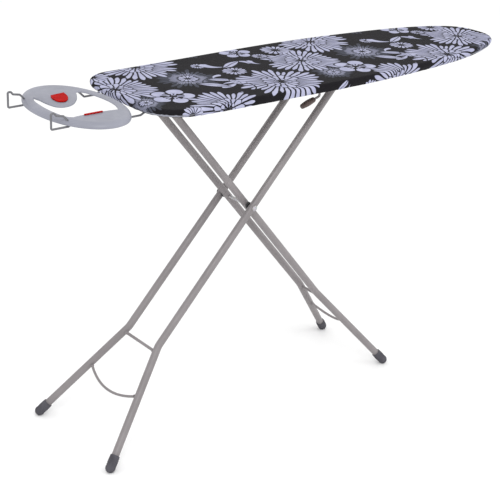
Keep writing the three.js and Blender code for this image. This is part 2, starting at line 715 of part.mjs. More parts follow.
addPart(board, 'rest_tray', makeTray(), GREY_PAINT);
addPart(board, 'leaf_pad', makeLeafPad(), RED_SILICONE);
addPart(board, 'edge_strip', makeEdgeStrip(), RED_SILICONE);

// ---------------------------------------------------------------- release lever

const leverBend = new THREE.Vector3(LEVER_X + 6, LEVER_GRIP_Y, LEVER_BEND_HEIGHT);
const gripDirection = new THREE.Vector3(-62, 0, -20).normalize();

function makeLeverWire() {
  const corners = [
    new THREE.Vector3(LEVER_X, LEVER_FAR_END, LEVER_HEIGHT),
    new THREE.Vector3(LEVER_X, LEVER_GRIP_Y, LEVER_HEIGHT),
    leverBend,
    leverBend.clone().addScaledVector(gripDirection, GRIP_START + GRIP_SOCKET - 2),
  ];
  return rodAlong(roundCorners(corners, 6, 3), LEVER_RADIUS);
}

// The hook wire reaches under the slider bar from the lever's shaft.
function makeLatchHook() {
  const profile = [
    [LEVER_X + LEVER_RADIUS + 0.8, LEVER_HEIGHT - 0.5],
    [LEVER_X + 36, LEVER_HEIGHT - 7],
    [legBTop.x + 2 * LEG_B.barRadius, legBTop.z - LEG_B.barRadius - 10],
  ];
  const near = profile.map(([x, z]) => new THREE.Vector3(x, -HOOK_HALF_WIDTH, z));
  const far = profile.map(([x, z]) => new THREE.Vector3(x, HOOK_HALF_WIDTH, z)).reverse();
  return rodAlong(roundCorners(near.concat(far), 6, 3), HOOK_WIRE_RADIUS);
}

function makeLeverGrip() {
  const bore = LEVER_RADIUS + GAP;
  const profile = [
    [0, GRIP_LENGTH], [5, GRIP_LENGTH], [7, GRIP_LENGTH - 2], [7.6, GRIP_LENGTH / 2], [7, 3],
    [5.5, 0], [bore, 0], [bore, GRIP_SOCKET], [0, GRIP_SOCKET],
  ];
  const points = profile.map(([radius, y]) => new THREE.Vector2(radius, y)).reverse();
  const grip = new THREE.LatheGeometry(points, 16);
  grip.applyQuaternion(
    new THREE.Quaternion().setFromUnitVectors(new THREE.Vector3(0, 1, 0), gripDirection),
  );
  const start = leverBend.clone().addScaledVector(gripDirection, GRIP_START);
  grip.translate(start.x, start.y, start.z);
  return grip;
}

function makeLeverLug(y) {
  const shape = new THREE.Shape();
  shape.moveTo(LEVER_X - 12, UNDERSIDE);
  shape.lineTo(LEVER_X - 7, LEVER_HEIGHT - 3);
  shape.lineTo(LEVER_X - 3, LEVER_HEIGHT - 7);
  shape.lineTo(LEVER_X + 3, LEVER_HEIGHT - 7);
  shape.lineTo(LEVER_X + 7, LEVER_HEIGHT - 3);
  shape.lineTo(LEVER_X + 12, UNDERSIDE);
  shape.closePath();
  const bore = disc(LEVER_RADIUS + GAP, 12);
  shape.holes.push(new THREE.Path(
    bore.map((p) => new THREE.Vector2(p.x + LEVER_X, p.y + LEVER_HEIGHT)),
  ));
  return standingPlate(shape, y, LUG_THICKNESS);
}

// The return spring: a few coils round the lever's shaft.
function makeLeverSpring() {
  const stepsPerTurn = 10;
  const stations = [];
  for (let i = 0; i <= SPRING_TURNS * stepsPerTurn; i += 1) {
    const angle = (2 * Math.PI * i) / stepsPerTurn;
    stations.push(new THREE.Vector3(
      LEVER_X + SPRING_RADIUS * Math.cos(angle),
      SPRING_START + (SPRING_PITCH * i) / stepsPerTurn,
      LEVER_HEIGHT + SPRING_RADIUS * Math.sin(angle),
    ));
  }
  return rodAlong(stations, SPRING_WIRE_RADIUS, 6);
}

addPart(lever, 'lever_wire', makeLeverWire(), SILVER_PAINT);
addPart(lever, 'latch_hook', makeLatchHook(), SILVER_PAINT);
addPart(lever, 'lever_grip', makeLeverGrip(), BROWN_PLASTIC);
addPart(lever, 'lever_spring', makeLeverSpring(), BARE_STEEL);
addPart(board, 'lever_lug_outer', makeLeverLug(LUG_OUTER_Y), GREY_PAINT);
addPart(board, 'lever_lug_inner', makeLeverLug(LUG_INNER_Y), GREY_PAINT);

const ironingBoard = new THREE.Group();
ironingBoard.add(board, legA, legB, lever);

export default ironingBoard;
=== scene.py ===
"""The looks of a free-standing ironing board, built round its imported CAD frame. Lengths are metres."""

import json
import math
import random

import bmesh
import bpy
import numpy as np
from mathutils import Matrix, Vector
from mathutils.geometry import tessellate_polygon


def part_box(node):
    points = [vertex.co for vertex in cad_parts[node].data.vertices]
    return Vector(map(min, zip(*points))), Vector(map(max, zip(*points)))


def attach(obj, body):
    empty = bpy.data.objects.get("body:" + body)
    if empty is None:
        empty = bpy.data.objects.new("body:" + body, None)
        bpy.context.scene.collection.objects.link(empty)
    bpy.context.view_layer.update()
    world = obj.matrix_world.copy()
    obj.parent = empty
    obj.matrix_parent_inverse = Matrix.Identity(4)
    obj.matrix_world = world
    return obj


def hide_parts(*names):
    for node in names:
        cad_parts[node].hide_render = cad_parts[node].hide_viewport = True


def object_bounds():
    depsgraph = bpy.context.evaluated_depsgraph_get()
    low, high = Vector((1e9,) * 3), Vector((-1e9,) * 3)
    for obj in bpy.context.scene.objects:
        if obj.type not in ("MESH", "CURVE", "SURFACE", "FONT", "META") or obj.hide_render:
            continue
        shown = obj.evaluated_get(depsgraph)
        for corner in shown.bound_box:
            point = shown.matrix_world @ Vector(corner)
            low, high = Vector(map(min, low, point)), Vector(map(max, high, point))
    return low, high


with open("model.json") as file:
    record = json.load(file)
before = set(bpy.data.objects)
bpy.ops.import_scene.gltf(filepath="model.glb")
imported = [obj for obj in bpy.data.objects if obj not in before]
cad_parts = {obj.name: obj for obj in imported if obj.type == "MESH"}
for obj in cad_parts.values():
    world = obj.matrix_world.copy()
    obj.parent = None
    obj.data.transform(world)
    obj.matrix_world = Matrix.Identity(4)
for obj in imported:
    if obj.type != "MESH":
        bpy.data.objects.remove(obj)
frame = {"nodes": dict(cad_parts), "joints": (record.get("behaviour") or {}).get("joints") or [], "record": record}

# ---- facts from the frame

CAD_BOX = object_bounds()
JOINTS = {joint["name"]: joint for joint in frame["joints"]}
MOUNTS = {mount["name"]: Vector(mount["pos_m"]) for mount in frame["record"]["mounts"]}
AXLE = Vector(JOINTS["leg_b_fold"]["pos_m"])

Y_AXIS = Vector((0, 1, 0))

COVER_LOW, COVER_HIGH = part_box("cover")
PAD_LOW, PAD_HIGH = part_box("foam_pad")
PANEL_LOW, PANEL_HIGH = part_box("top_panel")
RIM_LOW, RIM_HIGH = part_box("rim_frame")
TRAY_LOW, TRAY_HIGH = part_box("rest_tray")


def centre_of(node):
    low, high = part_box(node)
    return (low + high) / 2


def link(name, data):
    """A new object in the scene."""
    thing = bpy.data.objects.new(name, data)
    bpy.context.scene.collection.objects.link(thing)
    return thing


# ---- camera

VIEW_YAW = math.radians(-39.215)     # about +Z, from looking along +Y
VIEW_PITCH = math.radians(-23.108)
VIEW_ROLL = math.radians(2.261)
VIEW_DISTANCE = 3.5547               # to the middle of the object
VIEW_AIM = (-0.0634, -0.0668)        # aim, right of and above that middle
LENS = 96.987
SENSOR = 36.0


def make_camera():
    forward = Vector((-math.sin(VIEW_YAW) * math.cos(VIEW_PITCH),
                      math.cos(VIEW_YAW) * math.cos(VIEW_PITCH), math.sin(VIEW_PITCH)))
    level = Vector((math.cos(VIEW_YAW), math.sin(VIEW_YAW), 0))
    upward = level.cross(forward)
    right = level * math.cos(VIEW_ROLL) + upward * math.sin(VIEW_ROLL)
    up = upward * math.cos(VIEW_ROLL) - level * math.sin(VIEW_ROLL)
    data = bpy.data.cameras.new("camera")
    data.sensor_width = SENSOR
    data.lens = LENS
    data.clip_end = 100
    camera = link("camera", data)
    middle = (CAD_BOX[0] + CAD_BOX[1]) / 2
    place = middle + right * VIEW_AIM[0] + up * VIEW_AIM[1] - forward * VIEW_DISTANCE
    camera.matrix_world = Matrix((
        (right.x, up.x, -forward.x, place.x),
        (right.y, up.y, -forward.y, place.y),
        (right.z, up.z, -forward.z, place.z),
        (0, 0, 0, 1),
    ))
    bpy.context.scene.camera = camera


make_camera()

# ---- node graphs


class Graph:
    """A node tree that is built by function calls: each returns an output socket."""

    def __init__(self, tree):
        self.tree = tree

    def add(self, kind, inputs=None, **settings):
        node = self.tree.nodes.new(kind)
        for name, value in settings.items():
            setattr(node, name, value)
        for name, value in (inputs or {}).items():
            self.feed(node.inputs[name], value)
        return node

    def feed(self, socket, value):
        if isinstance(value, bpy.types.NodeSocket):
            self.tree.links.new(value, socket)
        else:
            socket.default_value = value

    def math(self, operation, a, b=0.0, c=0.0):
        return self.add("ShaderNodeMath", {0: a, 1: b, 2: c}, operation=operation).outputs[0]

    def times(self, a, b):
        return self.math("MULTIPLY", a, b)

    def minus(self, a, b):
        return self.math("SUBTRACT", a, b)

    def step(self, value, low, high, to_low=0.0, to_high=1.0):
        """A smooth change from to_low to to_high as value goes from low to high."""
        return self.add("ShaderNodeMapRange", {
            "Value": value, "From Min": low, "From Max": high, "To Min": to_low, "To Max": to_high,
        }, interpolation_type="SMOOTHSTEP").outputs["Result"]

    def mix(self, share, a, b, blend_type="MIX"):
        node = self.add("ShaderNodeMix", data_type="RGBA", blend_type=blend_type)
        self.feed(node.inputs[0], share)
        self.feed(node.inputs[6], a)
        self.feed(node.inputs[7], b)
        return node.outputs[2]

    def noise(self, vector, scale, detail=3.0, roughness=0.5):
        return self.add("ShaderNodeTexNoise", {
            "Vector": vector, "Scale": scale, "Detail": detail, "Roughness": roughness,
        }).outputs["Fac"]

    def clouds(self, vector, scale, detail, low, high, to_low=0.0, to_high=1.0, roughness=0.5):
        """Noise that changes smoothly from to_low to to_high."""
        return self.step(self.noise(vector, scale, detail, roughness), low, high, to_low, to_high)

    def worn_edges(self, low, high, patches):
        """The proud edges of the mesh, where patches lets them show."""
        pointed = self.add("ShaderNodeNewGeometry").outputs["Pointiness"]
        return self.times(self.step(pointed, low, high), patches)

    def finish(self, shader, values):
        for name, value in values.items():
            self.feed(shader.inputs[name], value)

    def stretched(self, vector, scale):
        """The vector with each of its parts scaled."""
        return self.add("ShaderNodeMapping", {"Vector": vector, "Scale": scale}).outputs[0]

    def bump(self, height, distance, strength=1.0, normal=None):
        inputs = {"Height": height, "Distance": distance, "Strength": strength}
        if normal is not None:
            inputs["Normal"] = normal
        return self.add("ShaderNodeBump", inputs).outputs[0]


def new_material(name):
    """A material with a Principled shader: (material, graph, shader, object coordinates)."""
    material = bpy.data.materials.new(name)
    material.use_nodes = True
    graph = Graph(material.node_tree)
    shader = material.node_tree.nodes["Principled BSDF"]
    coordinates = graph.add("ShaderNodeTexCoord").outputs["Object"]
    return material, graph, shader, coordinates


def rgba(red, green, blue):
    return (red, green, blue, 1.0)


def shade(colour, factor=1.0, lift=0.0):
    return rgba(*[min(1.0, channel * factor + lift) for channel in colour])


# ---- hard materials


ORANGE_PEEL = 0.0011                 # size of its bumps


def painted_metal(name, colour, bare, roughness, metallic):
    """Sprayed paint: orange peel, cloudy tone, specks and bare metal on worn edges."""
    material, graph, shader, where = new_material(name)
    tone = graph.mix(graph.clouds(where, 9.0, 4.0, 0.3, 0.7), shade(colour, 0.84), shade(colour))
    tone = graph.mix(graph.clouds(where, 700.0, 2.0, 0.62, 0.8, 0.0, 0.35), tone, shade(colour, 0.6))
    chips = graph.worn_edges(0.56, 0.66, graph.clouds(where, 160.0, 5.0, 0.5, 0.62, roughness=0.7))
    graph.finish(shader, {
        "Base Color": graph.mix(chips, tone, shade(bare)),
        "Metallic": metallic,
        "Roughness": graph.clouds(where, 60.0, 3.0, 0.25, 0.75, roughness - 0.07, roughness + 0.09),
        "Coat Weight": 0.15,
        "Coat Roughness": 0.3,
        "Normal": graph.bump(graph.noise(where, 1 / ORANGE_PEEL, 2.0), 0.00006, 0.5),
    })
    return material


def zinc_plated(name):
    """Plated steel: crystalline spangle, drawn streaks and a little tarnish."""
    material, graph, shader, where = new_material(name)
    spangle = graph.add("ShaderNodeTexVoronoi", {"Vector": where, "Scale": 260.0}).outputs["Color"]
    streaks = graph.noise(graph.stretched(where, (40.0, 900.0, 900.0)), 1.0, 3.0)
    tarnish = graph.clouds(where, 24.0, 5.0, 0.45, 0.75, roughness=0.6)
    tone = graph.mix(tarnish, rgba(0.50, 0.50, 0.51), rgba(0.30, 0.29, 0.28))
    graph.finish(shader, {
        "Base Color": graph.mix(0.08, tone, spangle, "OVERLAY"),
        "Metallic": 0.9,
        "Roughness": graph.step(streaks, 0.2, 0.8, 0.26, 0.48),
        "Normal": graph.bump(streaks, 0.00003, 0.5),
    })
    return material


def moulded(name, colour, roughness, grain, dust=0.25, specular=0.5):
    """Moulded rubber or plastic: fine grain, scuffs on the proud edges and a little dust."""
    material, graph, shader, where = new_material(name)
    tone = graph.mix(graph.clouds(where, 45.0, 4.0, 0.3, 0.72), shade(colour), shade(colour, 1.35, 0.004))
    scuffs = graph.worn_edges(
        0.52, 0.62, graph.clouds(where, 230.0, 4.0, 0.4, 0.65, 0.0, dust, roughness=0.7))
    graph.finish(shader, {
        "Base Color": graph.mix(scuffs, tone, shade(colour, 2.4, 0.06)),
        "Roughness": graph.clouds(where, 90.0, 3.0, 0.2, 0.8, roughness - 0.08, roughness + 0.08),
        "Specular IOR Level": specular,
        "Normal": graph.bump(graph.noise(where, grain, 3.0), 0.00012, 0.6),
    })
    return material


def open_cell_foam(name):
    material, graph, shader, where = new_material(name)
    cells = graph.add("ShaderNodeTexVoronoi", {"Vector": where, "Scale": 900.0}).outputs["Distance"]
    tone = graph.mix(graph.clouds(where, 12.0, 4.0, 0.3, 0.7),
                     rgba(0.72, 0.69, 0.60), rgba(0.82, 0.80, 0.74))
    graph.finish(shader, {
        # Painted shade: the pits of the cells, low in the bump, are darkened.
        "Base Color": graph.mix(graph.step(cells, 0.1, 0.5, 0.4, 0.0), tone, rgba(0.40, 0.37, 0.31)),
        "Roughness": 0.95,
        "Normal": graph.bump(cells, 0.0006, 0.8),
    })
    return material


# ---- the printed cloth

PRINT_REPEAT = 0.545                 # length of one repeat of the print
PRINT_SKEW = math.radians(-2.9)      # the cloth lies a little off its grain
GROUND = (0.0095, 0.0088, 0.0105)
PETAL = (0.46, 0.47, 0.62)
PETAL_SHADE = (0.37, 0.38, 0.53)
SHADOW_PETAL = (0.085, 0.092, 0.125)


def group_of(name, inputs, outputs):
    """An empty node group with float sockets: (tree, graph, input sockets)."""
    tree = bpy.data.node_groups.new(name, "ShaderNodeTree")
    for socket in inputs:
        tree.interface.new_socket(socket, in_out="INPUT", socket_type="NodeSocketFloat")
    for socket in outputs:
        tree.interface.new_socket(socket, in_out="OUTPUT", socket_type="NodeSocketFloat")
    graph = Graph(tree)
    given = graph.add("NodeGroupInput").outputs
    return tree, graph, given


def frame_group():
    """Polar coordinates round a motif's centre: radius in units of its size, and angle."""
    tree, g, given = group_of("motif_frame", ["X", "Y", "CX", "CY", "Turn", "Size"],
                              ["Radius", "Angle"])
    dx = g.math("WRAP", g.minus(given["X"], given["CX"]),
                PRINT_REPEAT / 2, -PRINT_REPEAT / 2)
    dy = g.minus(given["Y"], given["CY"])
    radius = g.math("SQRT", g.math("ADD", g.times(dx, dx), g.times(dy, dy)))
    angle = g.math("ADD", g.math("ARCTAN2", dy, dx), given["Turn"])
    g.add("NodeGroupOutput", {
        "Radius": g.math("DIVIDE", radius, given["Size"]),
        "Angle": g.math("WRAP", angle, math.pi, -math.pi),
    })
    return tree


def petals_group():
    """A whorl of petals. Count is odd, so the seam of the angle falls between two petals."""
    tree, g, given = group_of(
        "petals", ["Radius", "Angle", "Count", "Length", "Ragged", "Blunt", "Gap"], ["Petal", "Reach"])
    turn = g.math("DIVIDE", g.times(given["Angle"], given["Count"]), 2 * math.pi)
    number = g.math("ROUND", turn)
    across = g.math("ABSOLUTE", g.minus(turn, number))
    seed = g.math("MULTIPLY_ADD", given["Count"], 7.31, number)
    chance = g.add("ShaderNodeTexWhiteNoise", {"W": seed}, noise_dimensions="1D").outputs["Value"]
    shorter = g.minus(1.0, g.times(given["Ragged"], chance))
    along = g.math("DIVIDE", given["Radius"], g.times(given["Length"], shorter))
    tip = g.math("MULTIPLY_ADD", g.times(across, across), given["Blunt"], along)
    inside = g.step(tip, 0.97, 1.0, 1.0, 0.0)
    width = g.math("DIVIDE", g.times(given["Radius"], 2 * math.pi), given["Count"])
    from_edge = g.times(g.minus(0.5, across), width)
    clear = g.step(g.minus(from_edge, given["Gap"]), 0.0, 0.012)
    g.add("NodeGroupOutput", {
        "Petal": g.times(inside, clear),
        "Reach": g.step(tip, 1.02, 1.10, 1.0, 0.0),
    })
    return tree


class Print(Graph):
    """The printed pattern: it lays motif on motif and keeps the light and the shadow print."""

    def __init__(self, tree, x, y):
        super().__init__(tree)
        self.x = x
        self.y = y
        self.frame = frame_group()
        self.petals = petals_group()
        self.light = 0.0
        self.shadow = 0.0

    def use(self, tree, *values):
        """The two outputs of a group whose sockets are fed in their order."""
        outputs = self.add("ShaderNodeGroup", dict(enumerate(values)), node_tree=tree).outputs
        return outputs[0], outputs[1]

    def place(self, x, y, size, turn):
        """A motif's frame. It waits for the motifs below it, which keeps the shader small."""
        after = self.math("MULTIPLY_ADD", self.light, 0.0, self.x)
        return self.use(self.frame, after, self.y, x, y, turn, size)

    def whorl(self, radius, angle, count, length, ragged, blunt, gap):
        return self.use(self.petals, radius, angle, count, length, ragged, blunt, gap)

    def over(self, below, petal, reach):
        """petal laid on what is below it, with a dark outline as wide as reach stands proud."""
        kept = self.times(below, self.minus(1.0, reach))
        return self.math("MAXIMUM", kept, petal)

    def eye(self, below, radius, angle, size, dots):
        """A ring of dark seeds round a flower's middle."""
        petal, _ = self.whorl(radius, angle, dots, size, 0, 0.6, size * 0.09)
        ring = self.step(self.math("ABSOLUTE", self.minus(radius, size * 0.72)),
                           size * 0.12, size * 0.3, 1.0, 0.0)
        dark = self.times(ring, petal)
        return self.times(below, self.minus(1.0, dark))

    def bloom(self, x, y, size, turn, counts=(33, 15, 9)):
        """A large many-petalled flower in three whorls."""
        radius, angle = self.place(x, y, size, turn)
        outer, reach = self.whorl(radius, angle, counts[0], 1.0, 0.30, 1.1, 0.013)
        middle, middle_reach = self.whorl(radius, angle, counts[1], 0.46, 0.34, 1.0, 0.011)
        inner, inner_reach = self.whorl(radius, angle, counts[2], 0.22, 0.35, 0.9, 0.012)
        flower = self.over(outer, middle, middle_reach)
        flower = self.over(flower, inner, inner_reach)
        self.light = self.over(self.light, self.eye(flower, radius, angle, 0.13, 7), reach)

    def five(self, x, y, size, turn):
        """An open flower of five broad petals with dark strokes in its throat."""
        radius, angle = self.place(x, y, size, turn)
        flower, reach = self.whorl(radius, angle, 5, 1.0, 0.06, 1.5, 0.035)
        stroke, _ = self.whorl(radius, angle, 15, 0.56, 0.4, 0.5, 0.024)
        throat = self.times(stroke, self.step(radius, 0.17, 0.25))
        flower = self.times(flower, self.minus(1.0, throat))
        self.light = self.over(self.light, self.eye(flower, radius, angle, 0.17, 5), reach)

    def daisy(self, x, y, size, turn, count=15):
        radius, angle = self.place(x, y, size, turn)
        flower, reach = self.whorl(radius, angle, count, 1.0, 0.12, 1.3, 0.03)
        self.light = self.over(self.light, self.eye(flower, radius, angle, 0.30, 7), reach)

    def ghost(self, x, y, size, turn):
        """A flower printed in the faint second colour, with fine light rays from its middle."""
        radius, angle = self.place(x, y, size, turn)
        flower, _ = self.whorl(radius, angle, 31, 1.0, 0.35, 1.0, 0.012)
        fade = self.step(radius, 0.25, 1.0, 1.0, 0.45)
        self.shadow = self.math("MAXIMUM", self.shadow, self.times(flower, fade))
        thread, _ = self.whorl(radius, angle, 31, 0.62, 0.3, 0.4, 0.0)
        fine, _ = self.whorl(radius, angle, 31, 0.64, 0.3, 0.4, 0.030)
        rays = self.times(self.minus(thread, fine),
                           self.step(radius, 0.28, 0.36, 0.0, 0.55))
        self.light = self.math("MAXIMUM", self.light, rays)
        self.daisy(x, y, size * 0.30, turn, 13)

    def comma(self, x, y, size, turn, sweep=1.9, width=0.26):
        """A curled leaf: an arc that swells at its head and thins out to a point."""
        radius, angle = self.place(x, y, size, turn)
        along = self.math("DIVIDE", self.math("ADD", angle, sweep / 2), sweep)
        swell = self.times(self.step(along, 0.0, 0.12), self.step(along, 0.1, 1.0, 1.0, 0.0))
        away = self.math("ABSOLUTE", self.minus(radius, 1.0))
        inside = self.minus(self.times(swell, width), away)
        leaf = self.step(inside, 0.0, 0.02)
        self.light = self.over(self.light, leaf, self.step(inside, -0.06, -0.03))

    def spindle(self, x, y, size, turn, width=0.30):
        """A pointed leaf, light on one side of its rib. It points along turn."""
        radius, angle = self.place(x, y, size, turn)
        along = self.times(radius, self.math("COSINE", angle))
        across = self.times(radius, self.math("SINE", angle))
        full = self.times(self.math("MULTIPLY_ADD", self.times(along, along),
                                                   -1.0, 1.0), width)
        inside = self.minus(full, self.math("ABSOLUTE", across))
        rib = self.step(self.math("ABSOLUTE", across), 0.02, 0.05)
        leaf = self.times(self.step(inside, 0.0, 0.03), rib)
        self.light = self.over(self.light, leaf, self.step(inside, -0.08, -0.04))


# Motifs of one repeat: (x, y, size, turn), with +X towards the nose.
BLOOMS = [(-0.333, 0.153, 0.114, 0.2), (0.075, 0.012, 0.110, 1.1), (-0.086, -0.119, 0.122, 2.0),
          (-0.296, -0.212, 0.108, 2.9)]
GHOSTS = [(-0.272, 0.008, 0.088, 0.4), (0.082, -0.112, 0.060, 1.7), (-0.150, 0.215, 0.060, 0.9)]
FIVES = [(-0.382, -0.098, 0.056, 0.35), (-0.034, 0.148, 0.044, 1.2)]
DAISIES = [(-0.132, 0.011, 0.033, 0.0), (0.077, 0.126, 0.042, 0.5), (-0.189, 0.091, 0.020, 0.9),
           (0.004, 0.097, 0.021, 0.3), (0.150, -0.215, 0.030, 0.2)]
COMMAS = [(-0.128, 0.100, 0.046, 2.3), (-0.088, 0.050, 0.034, -0.9), (-0.222, -0.052, 0.040, 1.2),
          (-0.190, -0.028, 0.026, -2.2), (0.052, -0.196, 0.022, 0.6), (-0.020, 0.060, 0.030, 2.8),
          (-0.205, -0.110, 0.042, -1.4)]
SPINDLES = [(-0.207, -0.037, 0.034, 0.6), (-0.186, -0.069, 0.026, 1.5), (-0.246, -0.066, 0.040, 0.75),
            (-0.106, 0.066, 0.040, -0.5), (0.051, -0.199, 0.024, 2.4)]


def printed_cotton(name):
    """Cotton twill with a floral print. Its coordinates lie in the flat cloth, in metres."""
    material, graph, shader, _ = new_material(name)
    cloth = graph.add("ShaderNodeUVMap", uv_map="cloth").outputs["UV"]
    skewed = graph.add("ShaderNodeMapping", {
        "Vector": cloth, "Rotation": (0.0, 0.0, -PRINT_SKEW),
    }).outputs[0]
    split = graph.add("ShaderNodeSeparateXYZ", {0: skewed}).outputs
    wander = graph.times(graph.minus(graph.noise(cloth, 22.0, 2.0), 0.5), 0.006)
    x = graph.math("ADD", split["X"], wander)
    y = graph.minus(split["Y"], wander)
    pattern = Print(graph.tree, x, y)
    for motif, places in ((pattern.ghost, GHOSTS), (pattern.bloom, BLOOMS), (pattern.five, FIVES),
                          (pattern.daisy, DAISIES), (pattern.comma, COMMAS),
                          (pattern.spindle, SPINDLES)):
        for place in places:
            motif(*place)

    ground = graph.mix(graph.clouds(cloth, 7.0, 4.0, 0.25, 0.75, 0.0, 0.5), shade(GROUND), shade(GROUND, 1.5))
    petal = graph.mix(graph.clouds(cloth, 38.0, 3.0, 0.3, 0.7), shade(PETAL_SHADE), shade(PETAL))
    tone = graph.mix(pattern.shadow, ground, shade(SHADOW_PETAL))
    tone = graph.mix(pattern.light, tone, petal)
    warp, weft = [graph.add("ShaderNodeTexWave", {
        "Vector": cloth, "Scale": scale, "Distortion": distortion, "Detail": 1.0,
    }, bands_direction=way).outputs["Fac"] for scale, distortion, way in
                  ((330.0, 0.6, "DIAGONAL"), (420.0, 0.5, "Y"))]
    slub = graph.noise(graph.stretched(cloth, (60.0, 900.0, 1.0)), 1.0, 3.0)
    threads = graph.math("ADD", graph.times(warp, 0.6), graph.times(weft, 0.4))
    # Painted shade: darker between the threads, where the weave bump is low.
    tone = graph.mix(graph.step(threads, 0.1, 0.9, 0.16, 0.0), tone, rgba(0.006, 0.006, 0.008))
    tone = graph.mix(graph.step(slub, 0.55, 0.8, 0.0, 0.05), tone, rgba(0.30, 0.30, 0.36))
    weave = graph.bump(threads, 0.00014, 0.5)
    graph.finish(shader, {
        "Base Color": tone,
        "Roughness": 0.86,
        "Specular IOR Level": 0.06,
        "Sheen Weight": 0.03,
        "Sheen Roughness": 0.45,
        "Normal": graph.bump(graph.noise(cloth, 55.0, 3.0), 0.0010, 0.25, weave),
    })
    return material


MATERIALS = {
    "cover_cloth": printed_cotton("cover_cloth"),
    "foam": open_cell_foam("foam"),
    "silver_paint": painted_metal("silver_paint", (0.232, 0.213, 0.218), (0.40, 0.39, 0.38), 0.54, 0.10),
    # The rail wires: a darker copy of the silver paint, painted shade.
    "shaded_rail_paint": painted_metal("shaded_rail_paint", (0.150, 0.150, 0.165), (0.34, 0.34, 0.34), 0.34, 0.35),
    "grey_paint": painted_metal("grey_paint", (0.250, 0.257, 0.308), (0.38, 0.38, 0.38), 0.52, 0.0),
    "bare_steel": zinc_plated("bare_steel"),
    "grey_rubber": moulded("grey_rubber", (0.060, 0.058, 0.068), 0.80, 900.0, 0.3, 0.25),
    "brown_plastic": moulded("brown_plastic", (0.060, 0.038, 0.034), 0.55, 700.0),
    "black_plastic": moulded("black_plastic", (0.014, 0.014, 0.016), 0.50, 800.0),
    "red_silicone": moulded("red_silicone", (0.31, 0.0030, 0.0020), 0.62, 500.0, 0.02, 0.03),
}

# ---- mesh building


def bare_piece(name, points, faces):
    mesh = bpy.data.meshes.new(name)
    mesh.from_pydata([tuple(p) for p in points], [], faces)
    return link(name, mesh)


def new_piece(name, skin, slot, body, nodes, crease=35.0):
    """A mesh object that rides on a body, is finished like a slot and stands for CAD nodes."""
    piece = bare_piece(name, *skin)
    piece.data.validate()
    return dress(piece, slot, body, nodes, crease)


def edit(mesh, change):
    """Runs change on the mesh's bmesh."""
    work = bmesh.new()
    work.from_mesh(mesh)
    change(work)
    work.to_mesh(mesh)
    work.free()


def face_outwards(work):
    bmesh.ops.recalc_face_normals(work, faces=work.faces)


def weld_seams(work):
    bmesh.ops.remove_doubles(work, verts=work.verts, dist=0.00004)


def apply_modifiers(piece):
    """Turns the piece's mesh into what its modifiers make of it."""
    bpy.context.view_layer.update()
    evaluated = piece.evaluated_get(bpy.context.evaluated_depsgraph_get())
    mesh = bpy.data.meshes.new_from_object(evaluated)
    piece.modifiers.clear()
    piece.data = mesh


def thicken(piece, thickness):
    solid = piece.modifiers.new("thickness", "SOLIDIFY")
    solid.thickness = thickness
    solid.offset = -1
    apply_modifiers(piece)


def dress(piece, slot, body, nodes, crease=35.0):
    """Gives a piece its finish, its body and the CAD nodes that it stands for."""
    mesh = piece.data
    edit(mesh, face_outwards)
    mesh.materials.clear()
    mesh.materials.append(MATERIALS[slot])
    mesh.shade_smooth()
    mesh.set_sharp_from_angle(angle=math.radians(crease))
    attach(piece, body)
    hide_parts(*nodes)
    return piece


def rounded(corners, radius, steps=8):
    """A polyline with its inner corners turned into arcs."""
    corners = [Vector(c) for c in corners]
    path = [corners[0]]
    for before, corner, after in zip(corners, corners[1:], corners[2:]):
        back = (before - corner).normalized()
        ahead = (after - corner).normalized()
        half = back.angle(ahead) / 2
        centre = corner + (back + ahead).normalized() * radius / math.sin(half)
        first = corner + back * radius / math.tan(half) - centre
        last = corner + ahead * radius / math.tan(half) - centre
        turn = first.angle(last)
        for step in range(steps + 1):
            share = step / steps
            spoke = (first * math.sin((1 - share) * turn) + last * math.sin(share * turn)) / math.sin(turn)
            path.append(centre + spoke)
    path.append(corners[-1])
    return path


def spaced(path, spacing):
    """The same polyline with points added on its long stretches."""
    fine = [path[0]]
    for a, b in zip(path, path[1:]):
        pieces = max(1, math.ceil((b - a).length / spacing))
        fine += [a.lerp(b, k / pieces) for k in range(1, pieces + 1)]
    return fine


def stations_of(path, closed=False):
    """Each point of a path with two directions square to it, carried along without twist."""
    count = len(path)
    tangents = []
    for i in range(count):
        before = path[i - 1] if i or closed else path[i]
        after = path[(i + 1) % count] if i < count - 1 or closed else path[i]
        tangents.append((after - before).normalized())
    side = tangents[0].orthogonal().normalized()
    stations = []
    for point, tangent in zip(path, tangents):
        side = (side - tangent * side.dot(tangent)).normalized()
        stations.append((point, side, tangent.cross(side), tangent))
    return stations


def circle(centre, u, v, radius, sides):
    """Points round a centre in the plane of u and v."""
    angles = [2 * math.pi * k / sides for k in range(sides)]
    return [centre + (u * math.cos(angle) + v * math.sin(angle)) * radius for angle in angles]


def lofted(rings, closed=False, capped=False):
    """A skin over rings of as many points each: (points, faces)."""
    sides = len(rings[0])
    count = len(rings)
    faces = []
    for ring in range(count if closed else count - 1):
        base = ring * sides
        step = ((ring + 1) % count) * sides - base
        for k in range(sides):
            a = base + k
            b = base + (k + 1) % sides
            faces.append((a, b, b + step, a + step))
    if capped:
        faces.append(tuple(range(sides)))
        faces.append(tuple(range((count - 1) * sides, count * sides)))
    return [p for ring in rings for p in ring], faces


